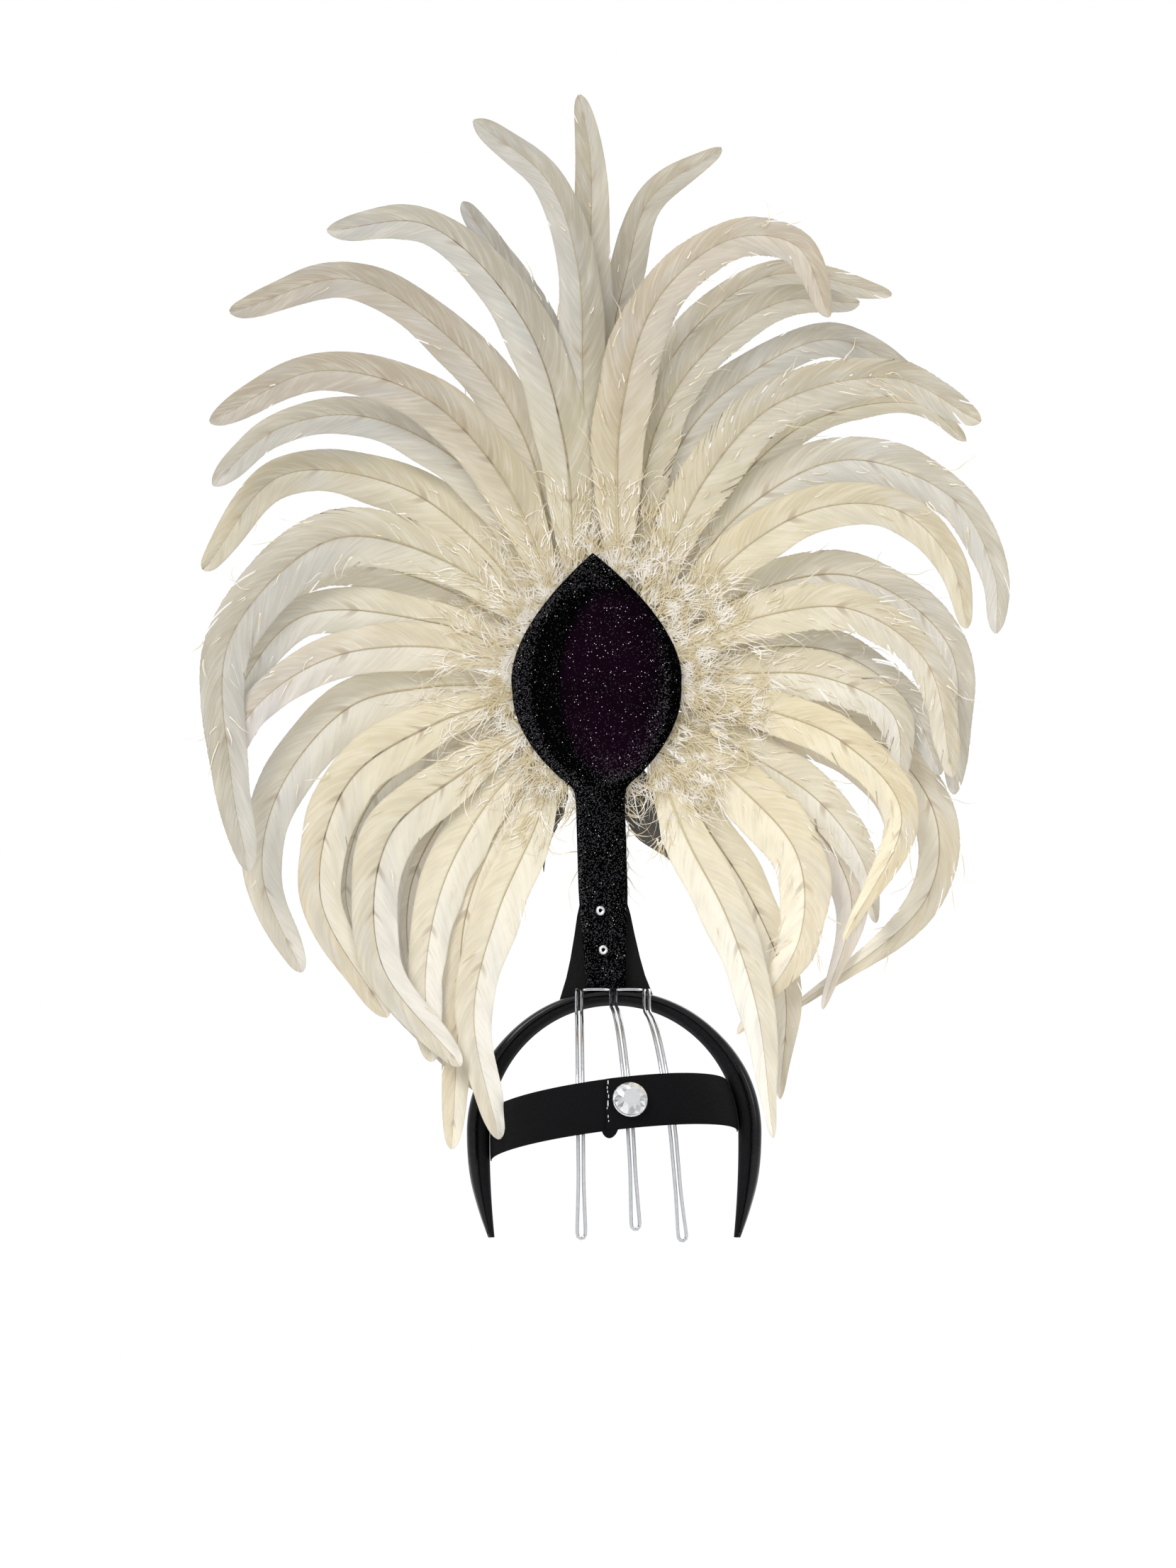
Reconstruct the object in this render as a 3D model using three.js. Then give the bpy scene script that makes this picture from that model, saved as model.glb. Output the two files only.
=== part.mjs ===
// A feathered headdress: a padded headband arch from ear to ear, a glitter panel on a stem that
// stands on its crown, a fan of long tail feathers rooted round the panel, an elastic strap with
// a faceted button, and a bent wire that grips the back of the head.
//
// Millimetres. +X is the wearer's right, +Y is the way that the wearer faces, +Z is up.
// The origin is the crown seat: the highest point of the headband's inner face.

import * as THREE from 'three';

const DEG = Math.PI / 180;

// Clearances
const gap = 0.3;                    // between neighbouring pieces

// Headband: an arch whose inner face is half an ellipse above its centre and part of a tall one below
const bandInnerWidth = 150;         // across the inner face at its widest
const bandInnerHeight = 78;         // from the widest level up to the crown seat
const bandLegDrop = 61.5;           // from the widest level down to the ends
const bandLegEllipse = 210;         // half height of the ellipse that the legs follow
const bandThickness = 13.5;         // shell and padding together, at the sides
const bandWidth = 30;               // front to back, over the crown
const paddingShare = 0.5;           // of the thickness, inside the shell
const bandSections = 32;
const bandSectionSides = 10;

// Thickness and width along the band, as shares, from the crown (0) to an end (1)
const bandRows = [
  { along: 0.00, thick: 0.56, wide: 1.00 },
  { along: 0.33, thick: 0.78, wide: 1.00 },
  { along: 0.50, thick: 0.96, wide: 1.00 },
  { along: 0.66, thick: 1.00, wide: 0.98 },
  { along: 0.80, thick: 0.89, wide: 0.90 },
  { along: 0.92, thick: 0.56, wide: 0.74 },
  { along: 1.00, thick: 0.27, wide: 0.50 },
];

// The back of the head that the strap and the wire lie round
const headHalfWidth = 68.8;
const headHalfDepth = 95;
const headNapeDrop = 130;           // half height of the lower half of the head

// Ornament: everything that stands on the crown, leaning to the wearer's left
const ornamentSide = -4.5;          // its foot, along X from the crown seat
const ornamentLean = 1.7 * DEG;

// Panel and stem
const panelHalfWidth = 52.5;
const panelTop = 280;               // its tip, above the crown seat
const panelWaist = 201;             // the level of its widest place
const panelNeck = 124;              // where it runs into the stem
const stemHalfWidth = 15;
const stemFootHalfWidth = 12;
const stemTaperTop = 75;            // above this level the stem has its full width
const panelCrownPower = 1.75;       // the panel narrows to its tip as 1 - u^power
const panelBack = -6;               // Y of the back panel's flat face
const rimThickness = 7;
const rimWidth = 10;
const centreThickness = 4.5;
const edgeThickness = 1.6;

// The shoulder below the widest place: share of the height above the neck, share of the spread
const shoulderRows = [
  { up: 0.00, out: 0.00 },
  { up: 0.11, out: 0.05 },
  { up: 0.22, out: 0.29 },
  { up: 0.38, out: 0.58 },
  { up: 0.56, out: 0.81 },
  { up: 0.76, out: 0.96 },
  { up: 1.00, out: 1.00 },
];

// Core between the two panels, with the quills set round its edge
const coreInset = 8;                // inside the panel's outline
const coreStemInset = 3;
const coreThickness = 13.5;
const frontPlateThickness = 2.5;
const frontPlateInset = 2;

// Flared foot of the stem
const footTop = 65;
const footTopHalfWidth = 13.5;
const footFlare = 14;               // added to each side at the band
const footRows = [
  { down: 0.00, out: 0.00 },
  { down: 0.20, out: 0.20 },
  { down: 0.40, out: 0.34 },
  { down: 0.65, out: 0.54 },
  { down: 0.85, out: 0.74 },
  { down: 1.00, out: 1.00 },
];

// Eyelets on the stem
const rivetRadius = 3;
const rivetHoleRadius = 1;
const rivetHeight = 1;
const rivets = [
  { name: 'rivet_upper', side: -2, up: 56 },
  { name: 'rivet_lower', side: -1, up: 32 },
];

// Feathers: layers lie behind one another, closer at the quills than at the tips
const featherReach = 300;           // from the panel's middle to a typical tip
const featherWidth = 23;
const featherThickness = 1.2;       // at the shaft
const featherEdgeThickness = 0.5;
const featherLayers = 9;
const featherBowl = 40;             // how far the tips come back towards -Y
const featherFan = 3;               // how much wider the layers stand apart at the tips
const quillHalfWidth = 1.4;
const featherSections = 12;

// A feather's half width along its length, as shares
const vaneRows = [
  { along: 0.00, wide: 0.00 },
  { along: 0.05, wide: 0.40 },
  { along: 0.14, wide: 1.00 },
  { along: 0.28, wide: 1.40 },
  { along: 0.44, wide: 1.40 },
  { along: 0.60, wide: 1.18 },
  { along: 0.75, wide: 0.97 },
  { along: 0.87, wide: 0.80 },
  { along: 0.95, wide: 0.56 },
  { along: 1.00, wide: 0.10 },
];

// Each feather's shaft starts at the core's edge in the direction root and runs through the places
// [direction, reach]. Directions are degrees round the panel's middle, 0 up and positive to the
// wearer's right; reaches are shares of featherReach. Layer 0 lies farthest back. The width is a
// share of featherWidth.
const leftFeathers = [
  { layer: 4, root: 2, wide: 1.00, through: [[1, 0.60], [1, 0.90], [1, 1.08], [0, 1.19]] },
  { layer: 6, root: 6, wide: 0.85, through: [[4, 0.53], [2, 0.76], [-1, 1.01]] },
  { layer: 2, root: -3, wide: 0.95, through: [[-1, 0.62], [-1, 0.86], [-4, 1.02], [-11, 1.15]] },
  { layer: 5, root: -8, wide: 0.90, through: [[-4, 0.50], [-7, 0.76], [-14, 1.03]] },
  { layer: 1, root: -13, wide: 1.05, through: [[-6, 0.50], [-10, 0.76], [-19, 0.98], [-30, 1.05]] },
  { layer: 3, root: -18, wide: 1.00, through: [[-15, 0.55], [-21, 0.76], [-30, 0.96], [-44, 1.05]] },
  { layer: 7, root: -22, wide: 0.85, through: [[-22, 0.50], [-25, 0.63], [-28, 0.75]] },
  { layer: 0, root: -27, wide: 1.00, through: [[-23, 0.45], [-30, 0.68], [-41, 0.84], [-56, 0.93]] },
  { layer: 4, root: -34, wide: 0.95, through: [[-26, 0.41], [-33, 0.61], [-41, 0.75], [-51, 0.84], [-62, 0.88]] },
  { layer: 6, root: -42, wide: 1.05, through: [[-38, 0.37], [-43, 0.58], [-55, 0.78], [-73, 0.84]] },
  { layer: 2, root: -50, wide: 1.10, through: [[-49, 0.38], [-60, 0.61], [-83, 0.75], [-105, 0.77], [-119, 0.81]] },
  { layer: 8, root: -58, wide: 0.95, through: [[-56, 0.38], [-64, 0.62], [-80, 0.74], [-98, 0.72]] },
  { layer: 5, root: -68, wide: 0.90, through: [[-68, 0.36], [-76, 0.62], [-92, 0.74], [-104, 0.79]] },
  { layer: 3, root: -77, wide: 0.95, through: [[-77, 0.36], [-84, 0.55], [-94, 0.70], [-105, 0.80]] },
  { layer: 7, root: -90, wide: 1.05, through: [[-90, 0.36], [-94, 0.51], [-107, 0.68], [-119, 0.79], [-134, 0.85]] },
  { layer: 1, root: -99, wide: 1.00, through: [[-104, 0.34], [-112, 0.55], [-128, 0.72], [-148, 0.82]] },
  { layer: 4, root: -108, wide: 1.00, through: [[-110, 0.32], [-117, 0.52], [-129, 0.67], [-144, 0.79]] },
  { layer: 5, root: -117, wide: 0.90, through: [[-119, 0.33], [-129, 0.56], [-144, 0.74], [-165, 0.89]] },
  { layer: 0, root: -126, wide: 1.00, through: [[-124, 0.34], [-127, 0.54], [-142, 0.73], [-160, 0.85]] },
  { layer: 8, root: -133, wide: 0.90, through: [[-128, 0.34], [-136, 0.56], [-147, 0.72], [-157, 0.84]] },
  { layer: 2, root: -140, wide: 0.95, through: [[-137, 0.32], [-142, 0.52], [-149, 0.70], [-156, 0.86]] },
  { layer: 3, root: -147, wide: 0.80, through: [[-146, 0.38], [-150, 0.56], [-157, 0.76], [-162, 1.01]] },
  { layer: 1, root: -153, wide: 0.90, through: [[-156, 0.34], [-156, 0.53], [-159, 0.74], [-167, 0.97]] },
];
const rightFeathers = [
  { layer: 7, root: 11, wide: 0.90, through: [[4, 0.68], [6, 0.88], [8, 1.02], [15, 1.14]] },
  { layer: 0, root: 16, wide: 1.05, through: [[7, 0.56], [11, 0.79], [19, 0.93], [27, 0.96], [35, 0.87]] },
  { layer: 8, root: 21, wide: 0.85, through: [[12, 0.55], [16, 0.76], [25, 0.94], [39, 1.02]] },
  { layer: 3, root: 26, wide: 0.95, through: [[15, 0.54], [20, 0.72], [28, 0.87], [37, 0.94]] },
  { layer: 5, root: 31, wide: 0.95, through: [[21, 0.53], [27, 0.70], [36, 0.86], [50, 0.92]] },
  { layer: 1, root: 36, wide: 1.05, through: [[30, 0.48], [35, 0.68], [47, 0.86], [59, 0.93]] },
  { layer: 6, root: 42, wide: 0.65, through: [[36, 0.48], [41, 0.71], [51, 0.88], [59, 0.91]] },
  { layer: 4, root: 48, wide: 1.00, through: [[42, 0.47], [50, 0.69], [65, 0.82], [78, 0.84], [86, 0.82]] },
  { layer: 2, root: 55, wide: 0.95, through: [[50, 0.44], [55, 0.60], [63, 0.71], [74, 0.76], [85, 0.76]] },
  { layer: 7, root: 63, wide: 0.95, through: [[61, 0.38], [69, 0.58], [86, 0.73], [110, 0.77]] },
  { layer: 0, root: 72, wide: 0.90, through: [[71, 0.37], [77, 0.54], [90, 0.67], [109, 0.75]] },
  { layer: 5, root: 80, wide: 0.90, through: [[80, 0.34], [85, 0.50], [96, 0.64], [108, 0.73]] },
  { layer: 3, root: 89, wide: 1.00, through: [[89, 0.32], [91, 0.46], [99, 0.61], [115, 0.67]] },
  { layer: 1, root: 98, wide: 0.85, through: [[102, 0.34], [107, 0.52], [117, 0.68], [140, 0.74]] },
  { layer: 6, root: 104, wide: 0.80, through: [[106, 0.38], [109, 0.56], [118, 0.69], [137, 0.72]] },
  { layer: 8, root: 110, wide: 0.90, through: [[102, 0.38], [104, 0.60], [114, 0.75], [126, 0.81], [153, 0.79]] },
  { layer: 4, root: 117, wide: 1.00, through: [[118, 0.34], [121, 0.52], [127, 0.66], [134, 0.76]] },
  { layer: 2, root: 125, wide: 1.10, through: [[129, 0.36], [134, 0.55], [145, 0.68], [161, 0.79]] },
  { layer: 7, root: 133, wide: 0.90, through: [[124, 0.36], [126, 0.54], [133, 0.69], [148, 0.82]] },
  { layer: 0, root: 143, wide: 0.90, through: [[153, 0.38], [154, 0.56], [157, 0.76], [162, 1.01]] },
  { layer: 5, root: 138, wide: 0.90, through: [[145, 0.36], [147, 0.55], [151, 0.74], [159, 0.94]] },
];
const darkFeathers = [
  { name: 'dark_feather_left', layer: 8, root: -158, wide: 0.55, through: [[-159, 0.32], [-163, 0.41]] },
  { name: 'dark_feather_right', layer: 8, root: 156, wide: 0.70, through: [[163, 0.32], [159, 0.41]] },
];

// Strap: two lengths of elastic that overlap at the back, the left end lower
const strapWidth = 30;
const strapThickness = 1.2;
const strapLevel = -66.5;           // the middle of its width at the back
const strapTilt = 8.75;             // each end above or below the other's middle
const strapSag = 4.25;              // how much both ends lie lower than the back
const strapEndTurn = 89 * DEG;      // round the head from the back
const strapOverlapLeft = -4.2 * DEG;
const strapOverlapRight = 24 * DEG;
const strapBlend = 20 * DEG;
const strapSections = 26;
const strapColumns = [-1, -0.5, 0, 0.5, 1];  // across its width, as shares of its half

// Button on the strap
const buttonTurn = 6.3 * DEG;
const buttonLevel = -64.5;
const settingRadius = 10.2;
const settingThickness = 1.5;
const stoneRadius = 9.6;
const stoneGirdle = 1;
const stoneHeight = 4.4;
const stoneTable = 5;
const stoneFacets = 12;

// Wire: one length bent into three doubled prongs
const wireRadius = 1;
const wirePairSpread = 3;           // between the two strands of a prong
const wireEyeSpread = 4.6;          // at the eye
const wireTop = -0.5;               // its middle, above the band's crown
const wireRim = 0.5;                // its middle, behind the band's rear rim
const wireHeadGap = 1.5;            // the wire's middle above the head
const wireSides = 6;
const prongs = [
  { topSide: -21, endSide: -19.5, endLevel: -140 },
  { topSide: -0.5, endSide: 11.4, endLevel: -135 },
  { topSide: 19.5, endSide: 38.7, endLevel: -141 },
];

const materials = {
  shell: new THREE.MeshStandardMaterial({ color: 0x0c0c0e, roughness: 0.25, metalness: 0 }),
  padding: new THREE.MeshStandardMaterial({ color: 0x121214, roughness: 0.85, metalness: 0 }),
  glitter: new THREE.MeshStandardMaterial({ color: 0x1b171c, roughness: 0.5, metalness: 0.1 }),
  plate: new THREE.MeshStandardMaterial({ color: 0x141416, roughness: 0.8, metalness: 0 }),
  elastic: new THREE.MeshStandardMaterial({ color: 0x101012, roughness: 0.75, metalness: 0 }),
  silver: new THREE.MeshStandardMaterial({ color: 0xb9bbbe, roughness: 0.35, metalness: 1 }),
  stone: new THREE.MeshStandardMaterial({ color: 0xdfe6ea, roughness: 0.05, metalness: 0 }),
  cream: new THREE.MeshStandardMaterial({ color: 0xe6dcc4, roughness: 0.8, metalness: 0 }),
  dark: new THREE.MeshStandardMaterial({ color: 0x26262a, roughness: 0.8, metalness: 0 }),
};

// A value read from a table by a smooth curve through its rows
function read(rows, key, column, at) {
  const last = rows.length - 1;
  let i = 0;
  while (i < last - 1 && at > rows[i + 1][key]) i += 1;
  const span = rows[i + 1][key] - rows[i][key];
  const t = Math.min(Math.max((at - rows[i][key]) / span, 0), 1);
  const slope = (k) => {
    const a = rows[Math.max(k - 1, 0)];
    const b = rows[Math.min(k + 1, last)];
    return (b[column] - a[column]) / (b[key] - a[key]);
  };
  const [p, q] = [rows[i][column], rows[i + 1][column]];
  const [m, n] = [slope(i) * span, slope(i + 1) * span];
  const [t2, t3] = [t * t, t * t * t];
  return (2 * t3 - 3 * t2 + 1) * p + (t3 - 2 * t2 + t) * m + (3 * t2 - 2 * t3) * q + (t3 - t2) * n;
}

function smooth(x) {
  const t = Math.min(Math.max(x, 0), 1);
  return t * t * (3 - 2 * t);
}

// A closed body through a row of rings with as many points each, capped at both ends
function loft(rings) {
  const sides = rings[0].length;
  const positions = rings.flat().flatMap((p) => [p.x, p.y, p.z]);
  const index = [];
  for (let i = 0; i < rings.length - 1; i += 1) {
    for (let j = 0; j < sides; j += 1) {
      const a = i * sides + j;
      const b = i * sides + (j + 1) % sides;
      index.push(a, b, b + sides, a, b + sides, a + sides);
    }
  }
  const cap = (ring, start, reversed) => {
    for (const face of capFaces(ring)) {
      const [a, b, c] = face.map((k) => k + start);
      index.push(...(reversed ? [a, c, b] : [a, b, c]));
    }
  };
  cap(rings[0], 0, true);
  cap(rings[rings.length - 1], (rings.length - 1) * sides, false);
  return closedGeometry(positions, index);
}

// Triangles that fill one ring, in the plane that fits it best
function capFaces(ring) {
  const normal = new THREE.Vector3();
  for (let i = 0; i < ring.length; i += 1) {
    normal.add(new THREE.Vector3().crossVectors(ring[i], ring[(i + 1) % ring.length]));
  }
  normal.normalize();
  const aside = Math.abs(normal.z) < 0.9 ? new THREE.Vector3(0, 0, 1) : new THREE.Vector3(1, 0, 0);
  const u = new THREE.Vector3().crossVectors(aside, normal).normalize();
  const v = new THREE.Vector3().crossVectors(normal, u);
  const flat = ring.map((p) => new THREE.Vector2(p.dot(u), p.dot(v)));
  return THREE.ShapeUtils.triangulateShape(flat, []);
}

// A geometry with its faces turned outwards, whichever way its rings ran
function closedGeometry(positions, index) {
  let volume = 0;
  const point = (k) => new THREE.Vector3().fromArray(positions, 3 * k);
  for (let i = 0; i < index.length; i += 3) {
    volume += point(index[i]).dot(point(index[i + 1]).cross(point(index[i + 2])));
  }
  if (volume < 0) index.reverse();
  const geometry = new THREE.BufferGeometry();
  geometry.setAttribute('position', new THREE.Float32BufferAttribute(positions, 3));
  geometry.setIndex(index);
  geometry.computeVertexNormals();
  return geometry;
}

// An upright plate: an outline of [x, z] corners from one depth to another
function plate(outline, yFrom, yTo) {
  const shape = new THREE.Shape(outline.map(([x, z]) => new THREE.Vector2(x, z)));
  const geometry = new THREE.ExtrudeGeometry(shape, { depth: yTo - yFrom, bevelEnabled: false });
  geometry.rotateX(Math.PI / 2);
  geometry.translate(0, yTo, 0);
  return geometry;
}

// Headband

const bandCentre = -bandInnerHeight;
const legTurn = Math.acos(-bandLegDrop / bandLegEllipse);

// A point on the arch's inner face and the direction out of it, at a turn from the crown
function bandArch(turn) {
  const high = Math.cos(turn) >= 0 ? bandInnerHeight : bandLegEllipse;
  const half = bandInnerWidth / 2;
  const x = half * Math.sin(turn);
  const z = bandCentre + high * Math.cos(turn);
  const out = new THREE.Vector3(high * Math.sin(turn), 0, half * Math.cos(turn)).normalize();
  return { point: new THREE.Vector3(x, 0, z), out };
}

// Half the distance between the inner faces at a level
function bandInnerHalf(z) {
  const high = z >= bandCentre ? bandInnerHeight : bandLegEllipse;
  return bandInnerWidth / 2 * Math.sqrt(Math.max(1 - ((z - bandCentre) / high) ** 2, 0));
}

// How far along the band a turn is, from the crown (0) to an end (1)
function bandAlong(turn) {
  const quarter = Math.PI / 4 * (bandInnerWidth / 2 + bandInnerHeight);
  const size = Math.abs(turn);
  const above = Math.min(size / (Math.PI / 2), 1) * quarter;
  const below = size > Math.PI / 2 ? -bandLegEllipse * Math.cos(size) : 0;
  return (above + below) / (quarter + bandLegDrop);
}

function bandRing(turn, section) {
  const along = bandAlong(turn);
  const thick = bandThickness * read(bandRows, 'along', 'thick', along);
  const wide = bandWidth / 2 * read(bandRows, 'along', 'wide', along);
  const { point, out } = bandArch(turn);
  return section(thick, wide).map(([u, v]) => point.clone().addScaledVector(out, u).setY(v));
}

// Half a rounded section: a superellipse standing on the line u = from, as high as height
function dome(from, height, half, power) {
  const points = [];
  for (let k = 0; k <= bandSectionSides; k += 1) {
    const angle = Math.PI * k / bandSectionSides;
    const up = Math.sin(angle) ** power;
    const side = -Math.sign(Math.cos(angle)) * Math.abs(Math.cos(angle)) ** power;
    points.push([from + height * up, half * side]);
  }
  return points;
}

function bandLoft(section) {
  const rings = [];
  for (let i = 0; i <= bandSections; i += 1) {
    const turn = legTurn * (2 * i / bandSections - 1);
    rings.push(bandRing(turn, section));
  }
  return loft(rings);
}

function shellSection(thick, wide) {
  const from = thick * paddingShare + gap;
  return dome(from, thick - from, wide, 0.55);
}

function paddingSection(thick, wide) {
  const deep = thick * paddingShare;
  return dome(0, deep, wide * 0.94, 0.35).map(([u, v]) => [deep - u, -v]);
}

// The band's outer face at a turn, lifted by a clearance
function bandOuter(turn, lift) {
  const thick = bandThickness * read(bandRows, 'along', 'thick', bandAlong(turn));
  const { point, out } = bandArch(turn);
  return point.addScaledVector(out, thick + lift);
}

// Ornament: its own upright frame, with its foot on the band

const ornament = new THREE.Group();
ornament.position.set(ornamentSide, 0, 0);
ornament.rotation.y = -ornamentLean;

function toOrnament(point) {
  const local = point.clone().sub(ornament.position);
  return local.applyAxisAngle(new THREE.Vector3(0, 1, 0), ornamentLean);
}

const ornamentBottom = bandThickness * bandRows[0].thick + gap;

// Half the panel's width at a level, stem included
function panelHalf(z) {
  if (z >= panelWaist) {
    const u = Math.min((z - panelWaist) / (panelTop - panelWaist), 1);
    return panelHalfWidth * (1 - u ** panelCrownPower);
  }
  if (z >= panelNeck) {
    const up = (z - panelNeck) / (panelWaist - panelNeck);
    return stemHalfWidth + (panelHalfWidth - stemHalfWidth) * read(shoulderRows, 'up', 'out', up);
  }
  const up = smooth((z - ornamentBottom) / (stemTaperTop - ornamentBottom));
  return stemFootHalfWidth + (stemHalfWidth - stemFootHalfWidth) * up;
}

// How much longer a sloping edge is than its height, at a level
function panelSlope(z) {
  const step = 0.5;
  return Math.hypot(1, (panelHalf(z + step) - panelHalf(z - step)) / (2 * step));
}

function insetHalf(z, inset, stemInset) {
  const almond = z >= panelNeck ? panelHalf(z) - inset * panelSlope(z) : 0;
  const stem = z < panelWaist ? Math.min(panelHalf(z), stemHalfWidth) - stemInset : 0;
  return Math.max(almond, stem, 0);
}

const coreHalf = (z) => insetHalf(z, coreInset, coreStemInset);
const frontHalf = (z) => insetHalf(z, frontPlateInset, frontPlateInset / 2);

// Levels from a bottom to the tip of an outline, closer together towards the tip
function levels(bottom, top, count) {
  return Array.from({ length: count + 1 }, (_, i) => bottom + (top - bottom) * Math.sin(Math.PI / 2 * i / count));
}

function outlineTop(half) {
  let [low, high] = [panelWaist, panelTop];
  for (let i = 0; i < 40; i += 1) {
    const middle = (low + high) / 2;
    if (half(middle) > 0.3) low = middle;
    else high = middle;
  }
  return low;
}

function outline(half, bottom, count) {
  const rows = levels(bottom, outlineTop(half), count);
  const right = rows.map((z) => [half(z), z]);
  const left = rows.map((z) => [-half(z), z]).reverse();
  return [...right, ...left];
}

// How far the back panel's padded face stands out of its flat one
function panelRelief(x, z) {
  const inside = (panelHalf(z) - Math.abs(x)) / panelSlope(z);
  const rim = Math.min(rimWidth, Math.max(panelHalf(z), stemFootHalfWidth) / 2);
  const rise = Math.sqrt(Math.max(1 - (1 - Math.min(inside / (rim / 2), 1)) ** 2, 0));
  const fall = smooth((inside - rim / 2) / (rim * 0.6));
  return edgeThickness + (rimThickness - edgeThickness) * rise - (rimThickness - centreThickness) * fall;
}

function backPanel() {
  const shares = [1, 0.97, 0.9, 0.8, 0.68, 0.45, 0];
  const columns = [...shares, ...shares.slice(0, -1).reverse().map((s) => -s)];
  const rings = levels(ornamentBottom, outlineTop(panelHalf), 34).map((z) => {
    const half = panelHalf(z);
    const padded = columns.map((s) => new THREE.Vector3(s * half, panelBack - panelRelief(s * half, z), z));
    const flat = [-half, half].map((x) => new THREE.Vector3(x, panelBack, z));
    return [...padded, ...flat];
  });
  return loft(rings);
}

const coreFrom = panelBack + gap;
const coreTo = coreFrom + coreThickness;

function stemBase() {
  const sides = footRows.map(({ down, out }) => {
    const z = footTop + (ornamentBottom - footTop) * down;
    return [footTopHalfWidth + footFlare * out, z];
  });
  const spread = footTopHalfWidth + footFlare;
  const bottom = [];
  const turns = 12;
  for (let i = 0; i <= turns; i += 1) {
    const x = ornamentSide + spread * (1 - 2 * i / turns);
    const turn = Math.asin(x / (bandInnerWidth / 2 + bandThickness * bandRows[0].thick));
    const place = toOrnament(bandOuter(turn, gap));
    bottom.push([place.x, place.z]);
  }
  const right = sides.slice(0, -1);
  const left = right.map(([x, z]) => [-x, z]).reverse();
  return plate([...right, ...bottom, ...left], coreFrom, coreTo);
}

// Eyelet: a ring with a rounded lip round its hole
function rivetGeometry() {
  const profile = [
    [rivetHoleRadius, 0],
    [rivetRadius, 0],
    [rivetRadius, rivetHeight * 0.4],
    [rivetRadius * 0.85, rivetHeight * 0.85],
    [rivetRadius * 0.62, rivetHeight],
    [rivetHoleRadius * 1.25, rivetHeight * 0.75],
    [rivetHoleRadius, rivetHeight * 0.4],
    [rivetHoleRadius, 0],
  ];
  const geometry = new THREE.LatheGeometry(profile.map(([r, h]) => new THREE.Vector2(r, h)), 16);
  return geometry.rotateX(Math.PI);
}

// Feathers

const panelMiddle = panelWaist;
const fanStart = panelTop - panelMiddle + 2;

// Depth of a layer at a place: flat behind the panel, then bowed back and fanned out
function featherDepth(layer, x, z) {
  const beyond = Math.hypot(x, z - panelMiddle) - fanStart;
  const t = Math.max(beyond, 0) / (featherReach - fanStart);
  const middle = (coreFrom + coreTo) / 2;
  const pitch = (coreThickness - featherThickness - gap) / (featherLayers - 1);
  const step = layer - (featherLayers - 1) / 2;
  return middle + step * pitch * (1 + featherFan * t) - featherBowl * t * t;
}

function polar(direction, distance) {
  const angle = direction * DEG;
  return [distance * Math.sin(angle), panelMiddle + distance * Math.cos(angle)];
}

// How far the core's edge is from the panel's middle in a direction
function coreEdge(direction) {
  let distance = 5;
  const inside = () => {
    const [x, z] = polar(direction, distance);
    return Math.abs(x) < coreHalf(z);
  };
  while (inside()) distance += 0.1;
  return distance;
}

function featherGeometry({ layer, root, wide, through }) {
  const places = [
    polar(root, coreEdge(root) + 2 * gap),
    ...through.map(([direction, share]) => polar(direction, share * featherReach)),
  ];
  const shaft = new THREE.CatmullRomCurve3(places.map(([x, z]) => new THREE.Vector3(x, 0, z)));
  const rings = [];
  for (let i = 0; i <= featherSections; i += 1) {
    const along = i / featherSections;
    const middle = shaft.getPointAt(along);
    const tangent = shaft.getTangentAt(along);
    const side = new THREE.Vector3(tangent.z, 0, -tangent.x);
    const vane = featherWidth / 2 * wide * read(vaneRows, 'along', 'wide', along);
    const half = Math.max(vane, along < 0.03 ? quillHalfWidth * 0.3 : 0.5);
    const ring = [[-1, 1], [0, 1], [1, 1], [1, -1], [0, -1], [-1, -1]].map(([across, face]) => {
      const thickness = across === 0 ? featherThickness : featherEdgeThickness;
      const point = middle.clone().addScaledVector(side, across * half);
      return point.setY(featherDepth(layer, point.x, point.z) + face * thickness / 2);
    });
    rings.push(ring);
  }
  return loft(rings);
}

// Strap

// Half depth at a level of a skin that lies a little way out from the back of the head
function headDepth(z, out) {
  const high = (z >= bandCentre ? bandInnerHeight : headNapeDrop) + out;
  return (headHalfDepth + out) * Math.sqrt(Math.max(1 - ((z - bandCentre) / high) ** 2, 0));
}

const strapLift = wireHeadGap + wireRadius + 1.5 * gap + strapThickness / 2;
const overlapLift = strapThickness + gap;

// A point of the strap: turn round the head from the back, height across its width, outwards offset
function strapPoint(turn, across, out) {
  const z = strapLevel + strapTilt * Math.sin(turn) - strapSag * (1 - Math.cos(turn)) + across;
  const beside = bandInnerHalf(z) - gap - strapThickness / 2 + out;
  const behind = headDepth(z, strapLift) + out;
  return new THREE.Vector3(beside * Math.sin(turn), -behind * Math.cos(turn), z);
}

// The right length lies over the left one, and comes down to the band's face past the overlap
function rightLift(turn) {
  return overlapLift * (1 - smooth((turn - strapOverlapRight - 2 * DEG) / strapBlend));
}

function strapGeometry(from, to, lift) {
  const rings = [];
  for (let i = 0; i <= strapSections; i += 1) {
    const turn = from + (to - from) * i / strapSections;
    const face = (side) => strapColumns.map((up) =>
      strapPoint(turn, up * strapWidth / 2, side * strapThickness / 2 + lift(turn)));
    rings.push([...face(1), ...face(-1).reverse()]);
  }
  return loft(rings);
}

// Button: its place on the strap's outer face, its axis out of it

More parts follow.
